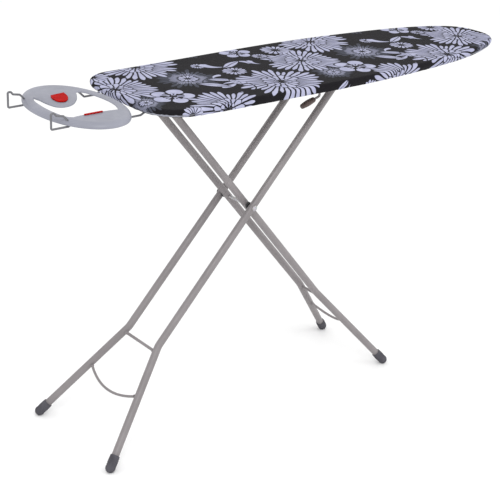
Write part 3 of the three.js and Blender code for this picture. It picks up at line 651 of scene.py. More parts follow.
def rod(path, radius, sides=20, dome=0.35, swell=None):
    """A round bar along a path with domed ends. swell(distance from an end) scales its radius."""
    stations = stations_of(path)
    lengths = [0.0]
    for a, b in zip(path, path[1:]):
        lengths.append(lengths[-1] + (b - a).length)
    rings = []

    def dome_rings(station, outward, order):
        centre, u, v, tangent = station
        for step in order:
            bend = 0.5 * math.pi * step / 4
            rings.append(circle(centre + tangent * outward * dome * radius * (math.sin(bend) - 1), u, v,
                                radius * (1 - dome + dome * math.cos(bend)), sides))

    dome_rings(stations[0], -1, (4, 3, 2, 1, 0))
    for (centre, u, v, _), along in zip(stations[1:-1], lengths[1:-1]):
        scale = swell(min(along, lengths[-1] - along)) if swell else 1.0
        rings.append(circle(centre, u, v, radius * scale, sides))
    dome_rings(stations[-1], 1, (0, 1, 2, 3, 4))
    return lofted(rings, capped=True)


def tube(path, radius, wall, sides=36):
    """A hollow tube along a path, open at both ends, with its end edges eased."""
    stations = stations_of(path)
    ease = wall * 0.3
    bore = radius - wall
    first, *between, last = stations
    plan = [(first, radius - ease, 0.0), (first, radius, ease)]
    plan += [(station, radius, 0.0) for station in between]
    plan += [(last, radius, -ease), (last, radius - ease, 0.0), (last, bore + ease, 0.0), (last, bore, -ease)]
    plan += [(station, bore, 0.0) for station in reversed(between)]
    plan += [(first, bore, ease), (first, bore + ease, 0.0)]
    return lofted([circle(centre + tangent * shift, u, v, r, sides)
                   for (centre, u, v, tangent), r, shift in plan], closed=True)


def turned(profile, origin, axis, sides=48):
    """A turned piece: profile is (radius, distance along axis), closed on itself or on the axis."""
    axis = Vector(axis).normalized()
    u = axis.orthogonal().normalized()
    v = axis.cross(u)
    tiny = 1e-5
    rings = [circle(Vector(origin) + axis * along, u, v, max(radius, tiny), sides)
             for radius, along in profile]
    bored = profile[0][0] > tiny
    return lofted(rings, closed=bored, capped=not bored)


def eased(profile, radius, steps=3):
    """A turned profile with its corners rounded."""
    path = [Vector((r, 0, a)) for r, a in profile]
    fine = [path[0]]
    for before, corner, after in zip(path, path[1:], path[2:]):
        reach = min(radius, (before - corner).length * 0.45, (after - corner).length * 0.45)
        start = corner + (before - corner).normalized() * reach
        end = corner + (after - corner).normalized() * reach
        for step in range(steps + 1):
            t = step / steps
            fine.append(start * (1 - t) ** 2 + corner * 2 * t * (1 - t) + end * t ** 2)
    fine.append(path[-1])
    return [(p.x, p.z) for p in fine]


def joined(*parts):
    """Several (points, faces) as one."""
    points = []
    faces = []
    for part_points, part_faces in parts:
        base = len(points)
        points += list(part_points)
        faces += [tuple(i + base for i in face) for face in part_faces]
    return points, faces


# ---- legs

TUBE_RADIUS = 0.0095
TUBE_WALL = 0.0012
TUBE_BEND_RADIUS = 0.045
TUBE_OVERHANG = 0.012                # past the bar at its top
FOOT_RADIUS = 0.0125
FOOT_LENGTH = 0.044
FOOT_CENTRE_HEIGHT = 0.011
TUBE_END = 0.010                     # above the centre of the foot's round end
FIT = 0.0003                         # slack of a moulding on its tube or wire
WELD_BITE = 0.0015                   # a wire's end reaches this far into its weld
WELD_LENGTH = 0.0035                 # and swells over this length
STRAIGHT_BRACE_RADIUS = 0.0038
CURVED_BRACE_RADIUS = 0.0033
WIRE_STEP = 0.0015                   # length of one step along a brace wire


class Leg:
    """One frame of two tubes. Places on it are a distance down its plane from the axle, and Y."""

    def __init__(self, body, bar, top_half, bend_half, bend_at):
        self.body = body
        self.top = centre_of(bar)
        self.down = (AXLE - self.top).normalized()
        self.reach = (AXLE - self.top).length
        self.top_half = top_half
        self.bend_half = bend_half
        self.bend_at = bend_at
        sole = MOUNTS[body.replace("leg", "sole") + "_far"]
        self.foot_half = sole.y
        self.foot_at = (AXLE.z - FOOT_CENTRE_HEIGHT) / -self.down.z

    def at(self, distance, y):
        point = AXLE + self.down * distance
        return Vector((point.x, y, point.z))

    def straight_half(self, distance):
        share = (distance + self.reach) / (self.bend_at + self.reach)
        return self.top_half + share * (self.bend_half - self.top_half)

    def flare_half(self, distance):
        share = (distance - self.bend_at) / (self.foot_at - self.bend_at)
        return self.bend_half + share * (self.foot_half - self.bend_half)


LEG_A = Leg("leg_a", "hinge_bar", 0.0420, 0.0343, 0.4096)
LEG_B = Leg("leg_b", "slider_bar", 0.0624, 0.0657, 0.4207)


def weld_fillet(distance):
    """How much a wire swells where it is welded at its end."""
    return 1.0 + 0.55 * math.exp(-((distance / WELD_LENGTH) ** 2))


def make_foot(leg, where, side):
    """A ribbed rubber boot with a rolled mouth, a domed toe and a flat worn where it stands."""
    bore = TUBE_RADIUS + FIT
    profile = [(0.0, TUBE_END - 0.001), (bore, TUBE_END - 0.001), (bore, FOOT_LENGTH - 0.0125),
               (bore + 0.0019, FOOT_LENGTH - 0.0125), (bore + 0.0023, FOOT_LENGTH - 0.0145)]
    ribs = 5
    for rib in range(ribs):
        high = 0.027 - rib * 0.0048
        swell = FOOT_RADIUS - 0.0004 + 0.0006 * math.sin(math.pi * (rib + 0.5) / ribs)
        profile += [(swell - 0.0006, high + 0.0012), (swell, high), (swell, high - 0.0022),
                    (swell - 0.0006, high - 0.0034)]
    profile.append((FOOT_RADIUS + 0.0001, 0.001))
    dome = 10
    for step in range(1, dome + 1):
        bend = 0.5 * math.pi * step / dome
        profile.append((FOOT_RADIUS * math.cos(bend), -FOOT_RADIUS * math.sin(bend)))
    profile[-1] = (0.0, -FOOT_RADIUS)
    bend = leg.at(leg.bend_at, side * leg.bend_half)
    toe = leg.at(leg.foot_at, side * leg.foot_half)
    points, faces = turned(eased(profile, 0.0008), toe, bend - toe)
    skin = [(p.x, p.y, max(p.z, 0.0)) for p in points], faces
    new_piece(f"{leg.body}_boot_{where}", skin, "grey_rubber", leg.body,
              [f"{leg.body}_foot_{where}"], 50.0)


def make_tube(leg, where, side):
    bend = leg.at(leg.bend_at, side * leg.bend_half)
    toe = leg.at(leg.foot_at, side * leg.foot_half)
    tip = -leg.reach - TUBE_OVERHANG
    end = toe + (bend - toe).normalized() * TUBE_END
    path = spaced(rounded([leg.at(tip, side * leg.straight_half(tip)), bend, end],
                          TUBE_BEND_RADIUS, 12), 0.04)
    skin = tube(path, TUBE_RADIUS, TUBE_WALL)
    new_piece(f"{leg.body}_pipe_{where}", skin, "silver_paint", leg.body,
              [f"{leg.body}_tube_{where}"], 50.0)


def crossing(low, high, beyond, spacing):
    """A straight path along Y through the middle of a box, going beyond it at each end."""
    middle = (low + high) / 2
    return spaced([Vector((middle.x, low.y - beyond, middle.z)),
                   Vector((middle.x, high.y + beyond, middle.z))], spacing)


def make_straight_brace(leg):
    low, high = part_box(f"{leg.body}_straight_brace")
    path = crossing(low, high, WELD_BITE, WIRE_STEP)
    new_piece(f"{leg.body}_straight_wire", rod(path, STRAIGHT_BRACE_RADIUS, swell=weld_fillet),
              "silver_paint", leg.body, [f"{leg.body}_straight_brace"])


def make_curved_brace(leg, lowest, sag):
    """A wire bowed towards the floor between the flared ends of the tubes."""
    half = leg.flare_half(lowest - sag) - TUBE_RADIUS - 0.003
    steps = 48
    path = []
    for i in range(steps + 1):
        share = 2 * i / steps - 1
        path.append(leg.at(lowest - sag * share * share, share * half))
    skin = rod(spaced(path, WIRE_STEP), CURVED_BRACE_RADIUS, 16, swell=weld_fillet)
    new_piece(f"{leg.body}_curved_wire", skin, "silver_paint", leg.body,
              [f"{leg.body}_curved_brace"])


for leg in (LEG_A, LEG_B):
    for where, side in (("near", -1), ("far", 1)):
        make_tube(leg, where, side)
        make_foot(leg, where, side)
    make_straight_brace(leg)
make_curved_brace(LEG_A, 0.556, 0.024)
make_curved_brace(LEG_B, 0.581, 0.026)


# ---- pivots


def make_bar(name, node, body):
    """A straight bar with eased ends, in the place of a CAD bar."""
    low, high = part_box(node)
    skin = rod(crossing(low, high, 0.0, 0.01), (high.z - low.z) / 2, 32)
    new_piece(name, skin, "bare_steel", body, [node])


make_bar("hinge_rod", "hinge_bar", "leg_a")
make_bar("axle_rod", "centre_axle", "leg_a")
make_bar("slider_rod", "slider_bar", "leg_b")


def make_turned_trim(name, node, slot, body, profile, side):
    """A turned piece that starts at a CAD node's inner face and faces outwards."""
    low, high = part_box(node)
    inner = low.y if side > 0 else high.y
    middle = (low + high) / 2
    start = Vector((middle.x, inner, middle.z))
    skin = turned(eased(profile, 0.0006), start, Y_AXIS * side)
    new_piece(name, skin, slot, body, [node], 40.0)


for where, side in (("near", -1), ("far", 1)):
    low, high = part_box(f"pivot_spacer_{where}")
    width = high.y - low.y
    bore = 0.0043
    ring = [(bore, 0.0), (0.0090, 0.0), (0.0090, width * 0.3), (0.0078, width * 0.4),
            (0.0078, width * 0.6), (0.0090, width * 0.7), (0.0090, width), (bore, width)]
    make_turned_trim(f"spacer_{where}", f"pivot_spacer_{where}", "black_plastic", "leg_a", ring, side)
    rivet = [(0.0, 0.0), (0.0075, 0.0), (0.0075, 0.0009), (0.0054, 0.0011), (0.0050, 0.0024),
             (0.0036, 0.0036), (0.0015, 0.0040), (0.0, 0.0040)]
    make_turned_trim(f"rivet_{where}", f"axle_cap_{where}", "bare_steel", "leg_a", rivet, side)
    button = [(0.0, 0.0), (0.0100, 0.0), (0.0100, 0.0028), (0.0082, 0.0038), (0.0040, 0.0040),
              (0.0036, 0.0034), (0.0, 0.0034)]
    make_turned_trim(f"slider_button_{where}", f"slider_cap_{where}", "black_plastic", "leg_b",
                     button, side)

# ---- board outline

NOSE_X = COVER_HIGH.x
WIDE_END_X = COVER_LOW.x
HALF_WIDTH = COVER_HIGH.y
WIDE_END_HALF_WIDTH = 0.1816
WIDE_END_CORNER = 0.080
NOSE_LENGTH = 0.660
NOSE_POWER_X = 1.72
NOSE_POWER_Y = 2.98


def half_outline():
    """The far side of the outline, from the middle of the wide end to the tip of the nose."""
    corner_x = WIDE_END_X + WIDE_END_CORNER
    corner_y = WIDE_END_HALF_WIDTH - WIDE_END_CORNER
    points = [Vector((WIDE_END_X, corner_y * k / 6)) for k in range(6)]
    for k in range(25):
        angle = math.pi * (1 - 0.5 * k / 24)
        points.append(Vector((corner_x + WIDE_END_CORNER * math.cos(angle),
                              corner_y + WIDE_END_CORNER * math.sin(angle))))
    for k in range(121):
        angle = 0.5 * math.pi * k / 120
        x = NOSE_X - NOSE_LENGTH + NOSE_LENGTH * math.sin(angle) ** (2 / NOSE_POWER_X)
        y = HALF_WIDTH * max(math.cos(angle), 0.0) ** (2 / NOSE_POWER_Y)
        points.append(Vector((x, y)))
    points[-1].y = 0.0
    return points


def evenly(points, count):
    """A polyline as count points the same distance apart, its last point left out."""
    lengths = np.array([0.0] + [(b - a).length for a, b in zip(points, points[1:])]).cumsum()
    wanted = np.linspace(0.0, lengths[-1], count, endpoint=False)
    columns = [np.interp(wanted, lengths, [p[k] for p in points]) for k in range(len(points[0]))]
    return [Vector(row) for row in zip(*columns)]


OUTLINE_STEPS = 520
far_side = half_outline()
near_side = [Vector((p.x, -p.y)) for p in reversed(far_side)]
OUTLINE = evenly(far_side + near_side[1:], OUTLINE_STEPS)


def outward_normals(loop):
    """Unit normals of a closed clockwise loop, smoothed a little."""
    count = len(loop)
    normals = []
    for i in range(count):
        along = loop[(i + 2) % count] - loop[i - 2]
        normals.append(Vector((-along.y, along.x)).normalized())
    return normals


NORMALS = outward_normals(OUTLINE)
SPINE_START = WIDE_END_X + 0.130
SPINE_END = NOSE_X - 0.150


def spine_point(point):
    """Where the ring through an outline point closes: on the board's middle line."""
    share = (point.x - WIDE_END_X) / (NOSE_X - WIDE_END_X)
    return Vector((SPINE_START + (SPINE_END - SPINE_START) * share, 0.0))


def board_rings(profile, inner_rings):
    """Rings round the board: profile gives (inset, z), then rings close on the middle line."""
    rings = []
    for inset, z in profile:
        rings.append([Vector((p.x - n.x * inset, p.y - n.y * inset, z)) for p, n in zip(OUTLINE, NORMALS)])
    last_inset, last_z = profile[-1]
    edge = [p - n * last_inset for p, n in zip(OUTLINE, NORMALS)]
    for ring in range(1, inner_rings + 1):
        share = ring / inner_rings
        line = []
        for p in edge:
            q = p.lerp(spine_point(p), share)
            line.append(Vector((q.x, q.y, last_z)))
        rings.append(line)
    return rings


def arc(centre_inset, centre_z, radius, start, end, steps):
    """Points (inset, z) on an arc. Angle 0 points outwards, 90 degrees up."""
    points = []
    for k in range(steps + 1):
        angle = math.radians(start + (end - start) * k / steps)
        points.append((centre_inset - radius * math.cos(angle), centre_z + radius * math.sin(angle)))
    return points


# ---- cover

EDGE_ROUND = 0.0072                  # radius of the padded top edge
HEM_ROUND = 0.0045
HEM_DEPTH = COVER_HIGH.y - 0.164     # how far the hem turns in under the rim
CLOTH_THICKNESS = 0.0009


def cover_profile():
    """From the gathered hem under the board, round the side and up on to the top."""
    hem_z = COVER_LOW.z + CLOTH_THICKNESS
    profile = [(HEM_DEPTH - 0.003 * k, hem_z) for k in range(8)]
    profile += arc(HEM_ROUND, hem_z + HEM_ROUND, HEM_ROUND, -90, 0, 4)
    profile += [(0.0, hem_z + HEM_ROUND + 0.0022)]
    profile += arc(EDGE_ROUND, COVER_HIGH.z - EDGE_ROUND, EDGE_ROUND, 0, 90, 6)
    profile += [(0.0125, COVER_HIGH.z), (0.019, COVER_HIGH.z)]
    return profile


PRINT_START = NOSE_X - 0.721         # where the print's coordinates start


def cloth_coordinates(rings):
    """Flat cloth coordinates of each ring point: the top as it lies, the rest rolled out flat."""
    top_start = len(cover_profile())
    flat = [None] * len(rings)
    for index in range(top_start - 1, len(rings)):
        flat[index] = [(p.x - PRINT_START, p.y) for p in rings[index]]
    for index in range(top_start - 2, -1, -1):
        line = []
        for k, p in enumerate(rings[index]):
            step = (p - rings[index + 1][k]).length
            u, v = flat[index + 1][k]
            line.append((u + NORMALS[k].x * step, v + NORMALS[k].y * step))
        flat[index] = line
    return flat


def hem_gathers(rings):
    """Pleats where the drawcord gathers the hem. They die out round the edge of the board."""
    chance = random.Random(5)
    waves = [(chance.uniform(0.9, 1.1) * f, chance.uniform(0, 2 * math.pi), a)
             for f, a in ((97, 1.0), (61, 0.7), (139, 0.5), (33, 0.5))]
    total = sum(a for _, _, a in waves)
    for index, ring in enumerate(rings[:13]):
        depth = max(0.0, 1.0 - index / 12.0) ** 1.3
        for k, p in enumerate(ring):
            turn = 2 * math.pi * k / len(ring)
            wave = sum(a * math.sin(round(f) * turn + shift) for f, shift, a in waves) / total
            p.z += 0.0024 * depth * wave
            p.x += NORMALS[k].x * 0.0008 * depth * wave
            p.y += NORMALS[k].y * 0.0008 * depth * wave


CLOTH_SETTINGS = {
    "vertex_group_mass": "pinned", "quality": 5, "mass": 0.18, "tension_stiffness": 25,
    "compression_stiffness": 12, "shear_stiffness": 8, "bending_stiffness": 0.4,
    "pin_stiffness": 1.0, "shrink_min": 0.01,
}


def relax_cloth(piece, pinned, steps, cap):
    """Lets the unpinned cloth settle by simulation, and keeps the settled shape."""
    rest = [v.co.copy() for v in piece.data.vertices]
    group = piece.vertex_groups.new(name="pinned")
    for weight in sorted(set(round(w, 2) for w in pinned)):
        members = [i for i, w in enumerate(pinned) if round(w, 2) == weight]
        group.add(members, weight, "REPLACE")
    cloth = piece.modifiers.new("cloth", "CLOTH")
    for name, value in CLOTH_SETTINGS.items():
        setattr(cloth.settings, name, value)
    cloth.collision_settings.use_collision = False
    scene = bpy.context.scene
    scene.frame_start = 1
    scene.frame_end = steps
    for number in range(1, steps + 1):
        scene.frame_set(number)
    settled = piece.evaluated_get(bpy.context.evaluated_depsgraph_get())
    moved = [v.co.copy() for v in settled.data.vertices]
    piece.modifiers.remove(cloth)
    piece.vertex_groups.clear()
    scene.frame_set(1)
    for vertex, start, end in zip(piece.data.vertices, rest, moved):
        shift = end - start
        if shift.length > cap:
            shift *= cap / shift.length
        vertex.co = start + shift


def make_cover():
    """The fitted cotton cover: one sheet, drawn round the pad and gathered under the rim."""
    profile = cover_profile()
    rings = board_rings(profile, 24)
    flat = cloth_coordinates(rings)
    hem_gathers(rings)
    skin = lofted(rings)
    coordinates = [c for ring in flat for c in ring]
    piece = bare_piece("fitted_cover", *skin)
    mesh = piece.data
    uv = mesh.uv_layers.new(name="cloth")
    for loop in mesh.loops:
        uv.data[loop.index].uv = coordinates[loop.vertex_index]
    edit(mesh, weld_seams)
    free_height = COVER_LOW.z + 0.003
    pinned = [min(1.0, max(0.0, (v.co.z - free_height) / 0.008)) for v in mesh.vertices]
    relax_cloth(piece, pinned, 16, 0.0035)
    soften_top(mesh)
    thicken(piece, CLOTH_THICKNESS)
    dress(piece, "cover_cloth", "board", ["cover"], 80.0)
    return piece


def low_waves(seed, count, shortest, longest):
    """A smooth random height between -1 and 1, as a function of a place."""
    chance = random.Random(seed)
    waves = [(chance.uniform(shortest, longest), chance.uniform(shortest, longest), chance.uniform(0, 6.28))
             for _ in range(count)]
    return lambda p: sum(math.sin(a * p.x + b * p.y + c) for a, b, c in waves) / count


def soften_top(mesh):
    """The give of the padding under the cloth: a low crown and shallow hollows from use."""
    middle = (COVER_LOW.z + COVER_HIGH.z) / 2
    hollow = low_waves(11, 7, 5, 26)
    for v in mesh.vertices:
        if v.co.z >= middle:
            rise = (v.co.z - middle) / (COVER_HIGH.z - middle)
            v.co.z += rise ** 4 * (0.0006 * hollow(v.co) - 0.0002)


def make_underlay():
    """The foam pad: a soft slab with rolled edges, thinner where the cover pulls it down."""
    low = PAD_LOW.z
    high = PAD_HIGH.z
    inset = COVER_HIGH.y - PAD_HIGH.y
    half = (high - low) / 2
    profile = [(inset + 0.03, low), (inset + half, low)]
    profile += arc(inset + half, low + half, half, -90, 90, 8)
    profile += [(inset + half + 0.006, high), (inset + 0.03, high)]
    bottom = board_rings([(inset + 0.03, low)], 12)[1:]
    rings = list(reversed(bottom)) + board_rings(profile, 12)
    dent = low_waves(3, 6, 10, 60)
    for ring in rings:
        for p in ring:
            if p.z > low + half:
                p.z += 0.00012 * dent(p) - 0.0002
    piece = new_piece("underlay", lofted(rings), "foam", "board", ["foam_pad"])
    edit(piece.data, weld_seams)


make_underlay()
make_cover()

# ---- panel and rim

MESH_PITCH = 0.016                   # expanded metal, one diamond
MESH_STRAND = 0.0022


def make_panel():
    """Expanded steel mesh on a plain border."""
    low = PANEL_LOW.z
    high = PANEL_HIGH.z
    inset = COVER_HIGH.y - PANEL_HIGH.y
    border = [(inset, low), (inset, high), (inset + 0.012, high), (inset + 0.012, low)]
    parts = [lofted(board_rings(border, 0), closed=True)]
    columns = int((NOSE_X - WIDE_END_X) / MESH_PITCH) + 2
    rows = int(2 * HALF_WIDTH / (MESH_PITCH * 0.5)) + 2
    inner = [p - n * (inset + 0.008) for p, n in zip(OUTLINE, NORMALS)]
    widths = {}

    def half_width_at(x):
        key = round(x, 4)
        if key not in widths:
            widths[key] = max((abs(p.y) for p in inner if abs(p.x - x) < 0.006), default=0.0)
        return widths[key]

    def strand(a, b):
        along = (b - a).normalized()
        across = Vector((-along.y, along.x)) * MESH_STRAND / 2
        corners = [a - across, a + across, b + across, b - across]
        points = [Vector((c.x, c.y, z)) for z in (low + 0.0001, high - 0.0001) for c in corners]
        faces = [(0, 1, 2, 3), (7, 6, 5, 4), (0, 4, 5, 1), (1, 5, 6, 2), (2, 6, 7, 3), (3, 7, 4, 0)]
        return points, faces

    for row in range(rows):
        y = -HALF_WIDTH + row * MESH_PITCH * 0.5
        for column in range(columns):
            x = WIDE_END_X + (column + 0.5 * (row % 2)) * MESH_PITCH
            start = Vector((x, y))
            for turn in (-1, 1):
                end = start + Vector((turn * MESH_PITCH * 0.5, MESH_PITCH * 0.5))
                if all(abs(p.y) < half_width_at(p.x) for p in (start, end)):
                    parts.append(strand(start, end))
    new_piece("mesh_panel", joined(*parts), "grey_paint", "board", ["top_panel"], 30.0)


def make_rim():
    """The rolled steel rim under the edge of the panel."""
    inset = COVER_HIGH.y - RIM_HIGH.y
    width = 0.014
    corner = 0.003
    low = RIM_LOW.z
    high = RIM_HIGH.z
    profile = arc(inset + corner, low + corner, corner, -90, 0, 4)
    profile += arc(inset + corner, high - corner, corner, 0, 90, 4)
    profile += arc(inset + width - corner, high - corner, corner, 90, 180, 4)
    profile += arc(inset + width - corner, low + corner, corner, 180, 270, 4)
    new_piece("rolled_rim", lofted(board_rings(profile, 0), closed=True), "grey_paint", "board",
              ["rim_frame"], 50.0)


make_panel()
make_rim()

# ---- iron rest

TRAY_POWER = 2.05
TRAY_SHEET = 0.0012
TRAY_EDGE_REACH = 0.0155             # the edge rolls over this far in from the outline
TRAY_EDGE_DROP = 0.011
TRAY_STEPS = 200


def raised(loop, z):
    return [Vector((p.x, p.y, z)) for p in loop]


def tray_outline(inset):
    middle = (TRAY_LOW + TRAY_HIGH) / 2
    half_x = (TRAY_HIGH.x - TRAY_LOW.x) / 2 - inset
    half_y = (TRAY_HIGH.y - TRAY_LOW.y) / 2 - inset
    points = []
    for k in range(TRAY_STEPS):
        angle = 2 * math.pi * k / TRAY_STEPS
        c = math.cos(angle)
        s = math.sin(angle)
        points.append(Vector((middle.x + half_x * math.copysign(abs(c) ** (2 / TRAY_POWER), c),
                              middle.y + half_y * math.copysign(abs(s) ** (2 / TRAY_POWER), s))))
    return points


def smooth_run(stops, steps=8):
    """A cardinal spline through the stops, without its last point."""
    run = []
    last = len(stops) - 1
    for i in range(last):
        p1 = stops[i]
        p2 = stops[i + 1]
        m1 = (p2 - stops[max(i - 1, 0)]) * (0.5 if i > 0 else 1.0)
        m2 = (stops[min(i + 2, last)] - p1) * (0.5 if i + 2 <= last else 1.0)
        for k in range(steps):
            t = k / steps
            run.append(p1 * (2 * t ** 3 - 3 * t ** 2 + 1) + m1 * (t ** 3 - 2 * t ** 2 + t)
                       + p2 * (-2 * t ** 3 + 3 * t ** 2) + m2 * (t ** 3 - t ** 2))
    return run


TRAY_CENTRE = Vector(((TRAY_LOW.x + TRAY_HIGH.x) / 2, (TRAY_LOW.y + TRAY_HIGH.y) / 2))


def on_tray(*runs):
    """A closed loop of smooth runs that meet at corners, in millimetres from the tray's middle."""
    loop = []
    for run in runs:
        loop += smooth_run([TRAY_CENTRE + Vector(stop) * 0.001 for stop in run])
    return loop


# The window, with the tongue that reaches in from the far side.
WINDOW = on_tray(
    [(-60, 84), (-71, 58), (-77, 10), (-77, -34), (-71, -74), (-60, -88)],
    [(-60, -88), (-44, -85.5), (18, -85.5), (57, -91)],
    [(57, -91), (70.5, -50), (73, 0), (66, 52), (56, 74)],
    [(56, 74), (47.5, 75.5)],
    [(47.5, 75.5), (28, 39), (12, 17), (-5, 0), (-20, -8.8), (-34, -10.6), (-45, -6.5), (-53, 7),
     (-57, 36), (-57, 62)],
    [(-57, 62), (-60, 84)])
LEAF = on_tray(
    [(-23, 71), (-31.5, 50), (-32, 26), (-22, 15.5), (-6, 24), (8, 48), (14.5, 75.5)],
    [(14.5, 75.5), (-23, 71)])


def offset_loop(loop, distance):
    """A closed loop moved outwards by distance."""
    count = len(loop)
    area = sum(loop[i - 1].x * loop[i].y - loop[i].x * loop[i - 1].y for i in range(count))
    way = -1 if area < 0 else 1
    moved = []
    for i in range(count):
        along = (loop[(i + 1) % count] - loop[i - 1]).normalized()
        moved.append(loop[i] + Vector((along.y, -along.x)) * distance * way)
    return moved


def face_upwards(work):
    face_outwards(work)
    highest = max(work.faces, key=lambda f: f.calc_center_median().z + f.calc_area())
    if highest.normal.z < 0:
        bmesh.ops.reverse_faces(work, faces=work.faces)


def make_tray():
    """A pressed steel tray: flat top, rounded edge, skirt with a rolled foot, turned-in window."""
    top = TRAY_HIGH.z
    bottom = TRAY_LOW.z
    outer = [(TRAY_EDGE_REACH, top)]
    for k in range(1, 13):
        angle = 0.5 * math.pi * k / 12
        outer.append((TRAY_EDGE_REACH * (1 - math.sin(angle)),
                      top - TRAY_EDGE_DROP * (1 - math.cos(angle))))
    outer += [(0.0, bottom + 0.0020), (0.0003, bottom + 0.0006), (0.0014, bottom),
              (0.0026, bottom + 0.0008)]
    lip = [(0.0016, top), (0.0007, top - 0.0003), (0.0001, top - 0.0011), (0.0, top - 0.0034)]
    edge = [raised(tray_outline(inset), z) for inset, z in outer]
    hole = [raised(offset_loop(WINDOW, outset), z) for outset, z in lip]
    points, faces = joined(lofted(edge), lofted(hole))
    base = len(edge) * TRAY_STEPS
    index = list(range(TRAY_STEPS)) + list(range(base, base + len(WINDOW)))
    faces += [tuple(index[i] for i in face) for face in tessellate_polygon([edge[0], hole[0]])]
    piece = bare_piece("pressed_tray", points, faces)
    edit(piece.data, face_upwards)
    thicken(piece, TRAY_SHEET)
    dress(piece, "grey_paint", "board", ["rest_tray"], 50.0)


def cushion(name, loop, low, high, slot, body, node, ease):
    """A flat moulding with a rounded top edge and a slightly crowned top."""
    rings = []
    for inset, z in ((ease * 0.4, low), (0.0, low + ease * 0.4), (0.0, high - ease)):
        rings.append(raised(offset_loop(loop, -inset), z))
    for k in range(1, 6):
        angle = 0.5 * math.pi * k / 5
        inset = ease * (1 - math.cos(angle))
        z = high - ease + ease * math.sin(angle)
        rings.append(raised(offset_loop(loop, -inset), z))
    middle = sum((Vector((p.x, p.y)) for p in loop), Vector((0, 0))) / len(loop)
    edge = rings[-1]
    for share in (0.35, 0.7, 0.95):
        rings.append(raised([Vector((p.x, p.y)).lerp(middle, share) for p in edge], high))
    new_piece(name, lofted(rings, capped=True), slot, body, [node], 50.0)


def make_rest_pads():
    low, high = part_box("leaf_pad")
    cushion("leaf_cushion", LEAF, low.z, high.z, "red_silicone", "board",
            "leaf_pad", 0.0010)
    low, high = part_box("edge_strip")
    ease = 0.0018
    strip = []
    for x, y, start in ((high.x - ease, high.y - ease, 0), (low.x + ease, high.y - ease, 90),
                        (low.x + ease, low.y + ease, 180), (high.x - ease, low.y + ease, 270)):
        for k in range(6):
            angle = math.radians(start + 90 * k / 5)
            strip.append(Vector((x + ease * math.cos(angle), y + ease * math.sin(angle))))
    cushion("edge_cushion", strip, low.z, high.z, "red_silicone", "board", "edge_strip", 0.0008)


RAIL_RADIUS = 0.0025
RAIL_RISE = 0.0055                   # of the wire's run under the board, from its lowest stretch


def make_rail(where):
    """A wire rail: from under the board and under the tray, up in a square loop, down to the tray."""
    low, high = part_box(f"rest_rail_{where}")
    y = (low.y + high.y) / 2
    dip = low.z + RAIL_RADIUS
    base = dip + RAIL_RISE
    under = TRAY_HIGH.z - TRAY_SHEET - RAIL_RADIUS - 0.001
    peak = high.z - RAIL_RADIUS
    tip = low.x + RAIL_RADIUS
    edge = WIDE_END_X
    profile = [(high.x, base), (edge + 0.014, base), (edge + 0.004, dip), (edge - 0.0285, dip),
               (edge - 0.048, under), (tip + 0.060, under), (tip + 0.044, base), (tip, base),
               (tip, peak), (tip + 0.008, peak), (tip + 0.013, peak - 0.0065),
               (tip + 0.031, peak - 0.010), (tip + 0.0445, peak - 0.0244)]
    corners = [(x, y, z) for x, z in profile]
    path = spaced(rounded(corners, 0.0034, 8), 0.02)
    piece = new_piece(f"rail_wire_{where}", rod(path, RAIL_RADIUS, 20), "silver_paint", "board",
                      [f"rest_rail_{where}"])
    # This wire gets the darker copy of the silver paint: painted shade.
    piece.data.materials[0] = MATERIALS["shaded_rail_paint"]


make_tray()
make_rest_pads()
make_rail("near")
make_rail("far")

# ---- release lever

LEVER_PIVOT = Vector(JOINTS["lever_squeeze"]["pos_m"])
LEVER_RADIUS = 0.003
LEVER_BEND_RADIUS = 0.006
HOOK_RADIUS = 0.0025
HOOK_HALF_WIDTH = 0.022
GRIP_START = 0.018                   # along the wire from its bend
GRIP_LENGTH = 0.044
GRIP_SOCKET = 0.036
LEVER_Y = centre_of("lever_grip").y
LEVER_BEND = LEVER_PIVOT + Vector((0.006, LEVER_Y, -0.034))
GRIP_WAY = Vector((-0.062, 0, -0.020)).normalized()


def make_lever():
    wire_end = LEVER_BEND + GRIP_WAY * (GRIP_START + GRIP_SOCKET - 0.0015)
    corners = [LEVER_PIVOT + Y_AXIS * 0.027, LEVER_PIVOT + Y_AXIS * LEVER_Y, LEVER_BEND, wire_end]
    skin = rod(spaced(rounded(corners, LEVER_BEND_RADIUS, 8), 0.01), LEVER_RADIUS, 20)
    new_piece("lever_rod", skin, "silver_paint", "lever", ["lever_wire"])
    bore = LEVER_RADIUS + FIT
    profile = [(bore, 0.0), (0.0052, 0.0), (0.0066, 0.0022)]
    ribs = 6
    for rib in range(ribs):
        along = 0.005 + rib * 0.0056
        swell = 0.0064 + 0.0014 * math.sin(math.pi * (rib + 0.7) / (ribs + 0.4))
        profile += [(swell, along), (swell + 0.0003, along + 0.0019), (swell, along + 0.0038),
                    (swell - 0.0005, along + 0.0047)]
    profile += [(0.0066, GRIP_LENGTH - 0.004), (0.0058, GRIP_LENGTH - 0.0012),
                (0.0040, GRIP_LENGTH), (0.0, GRIP_LENGTH)]
    profile = [(0.0, GRIP_SOCKET), (bore, GRIP_SOCKET)] + profile
    skin = turned(eased(profile, 0.0010), LEVER_BEND + GRIP_WAY * GRIP_START, GRIP_WAY, 40)
    new_piece("ribbed_grip", skin, "brown_plastic", "lever", ["lever_grip"], 50.0)


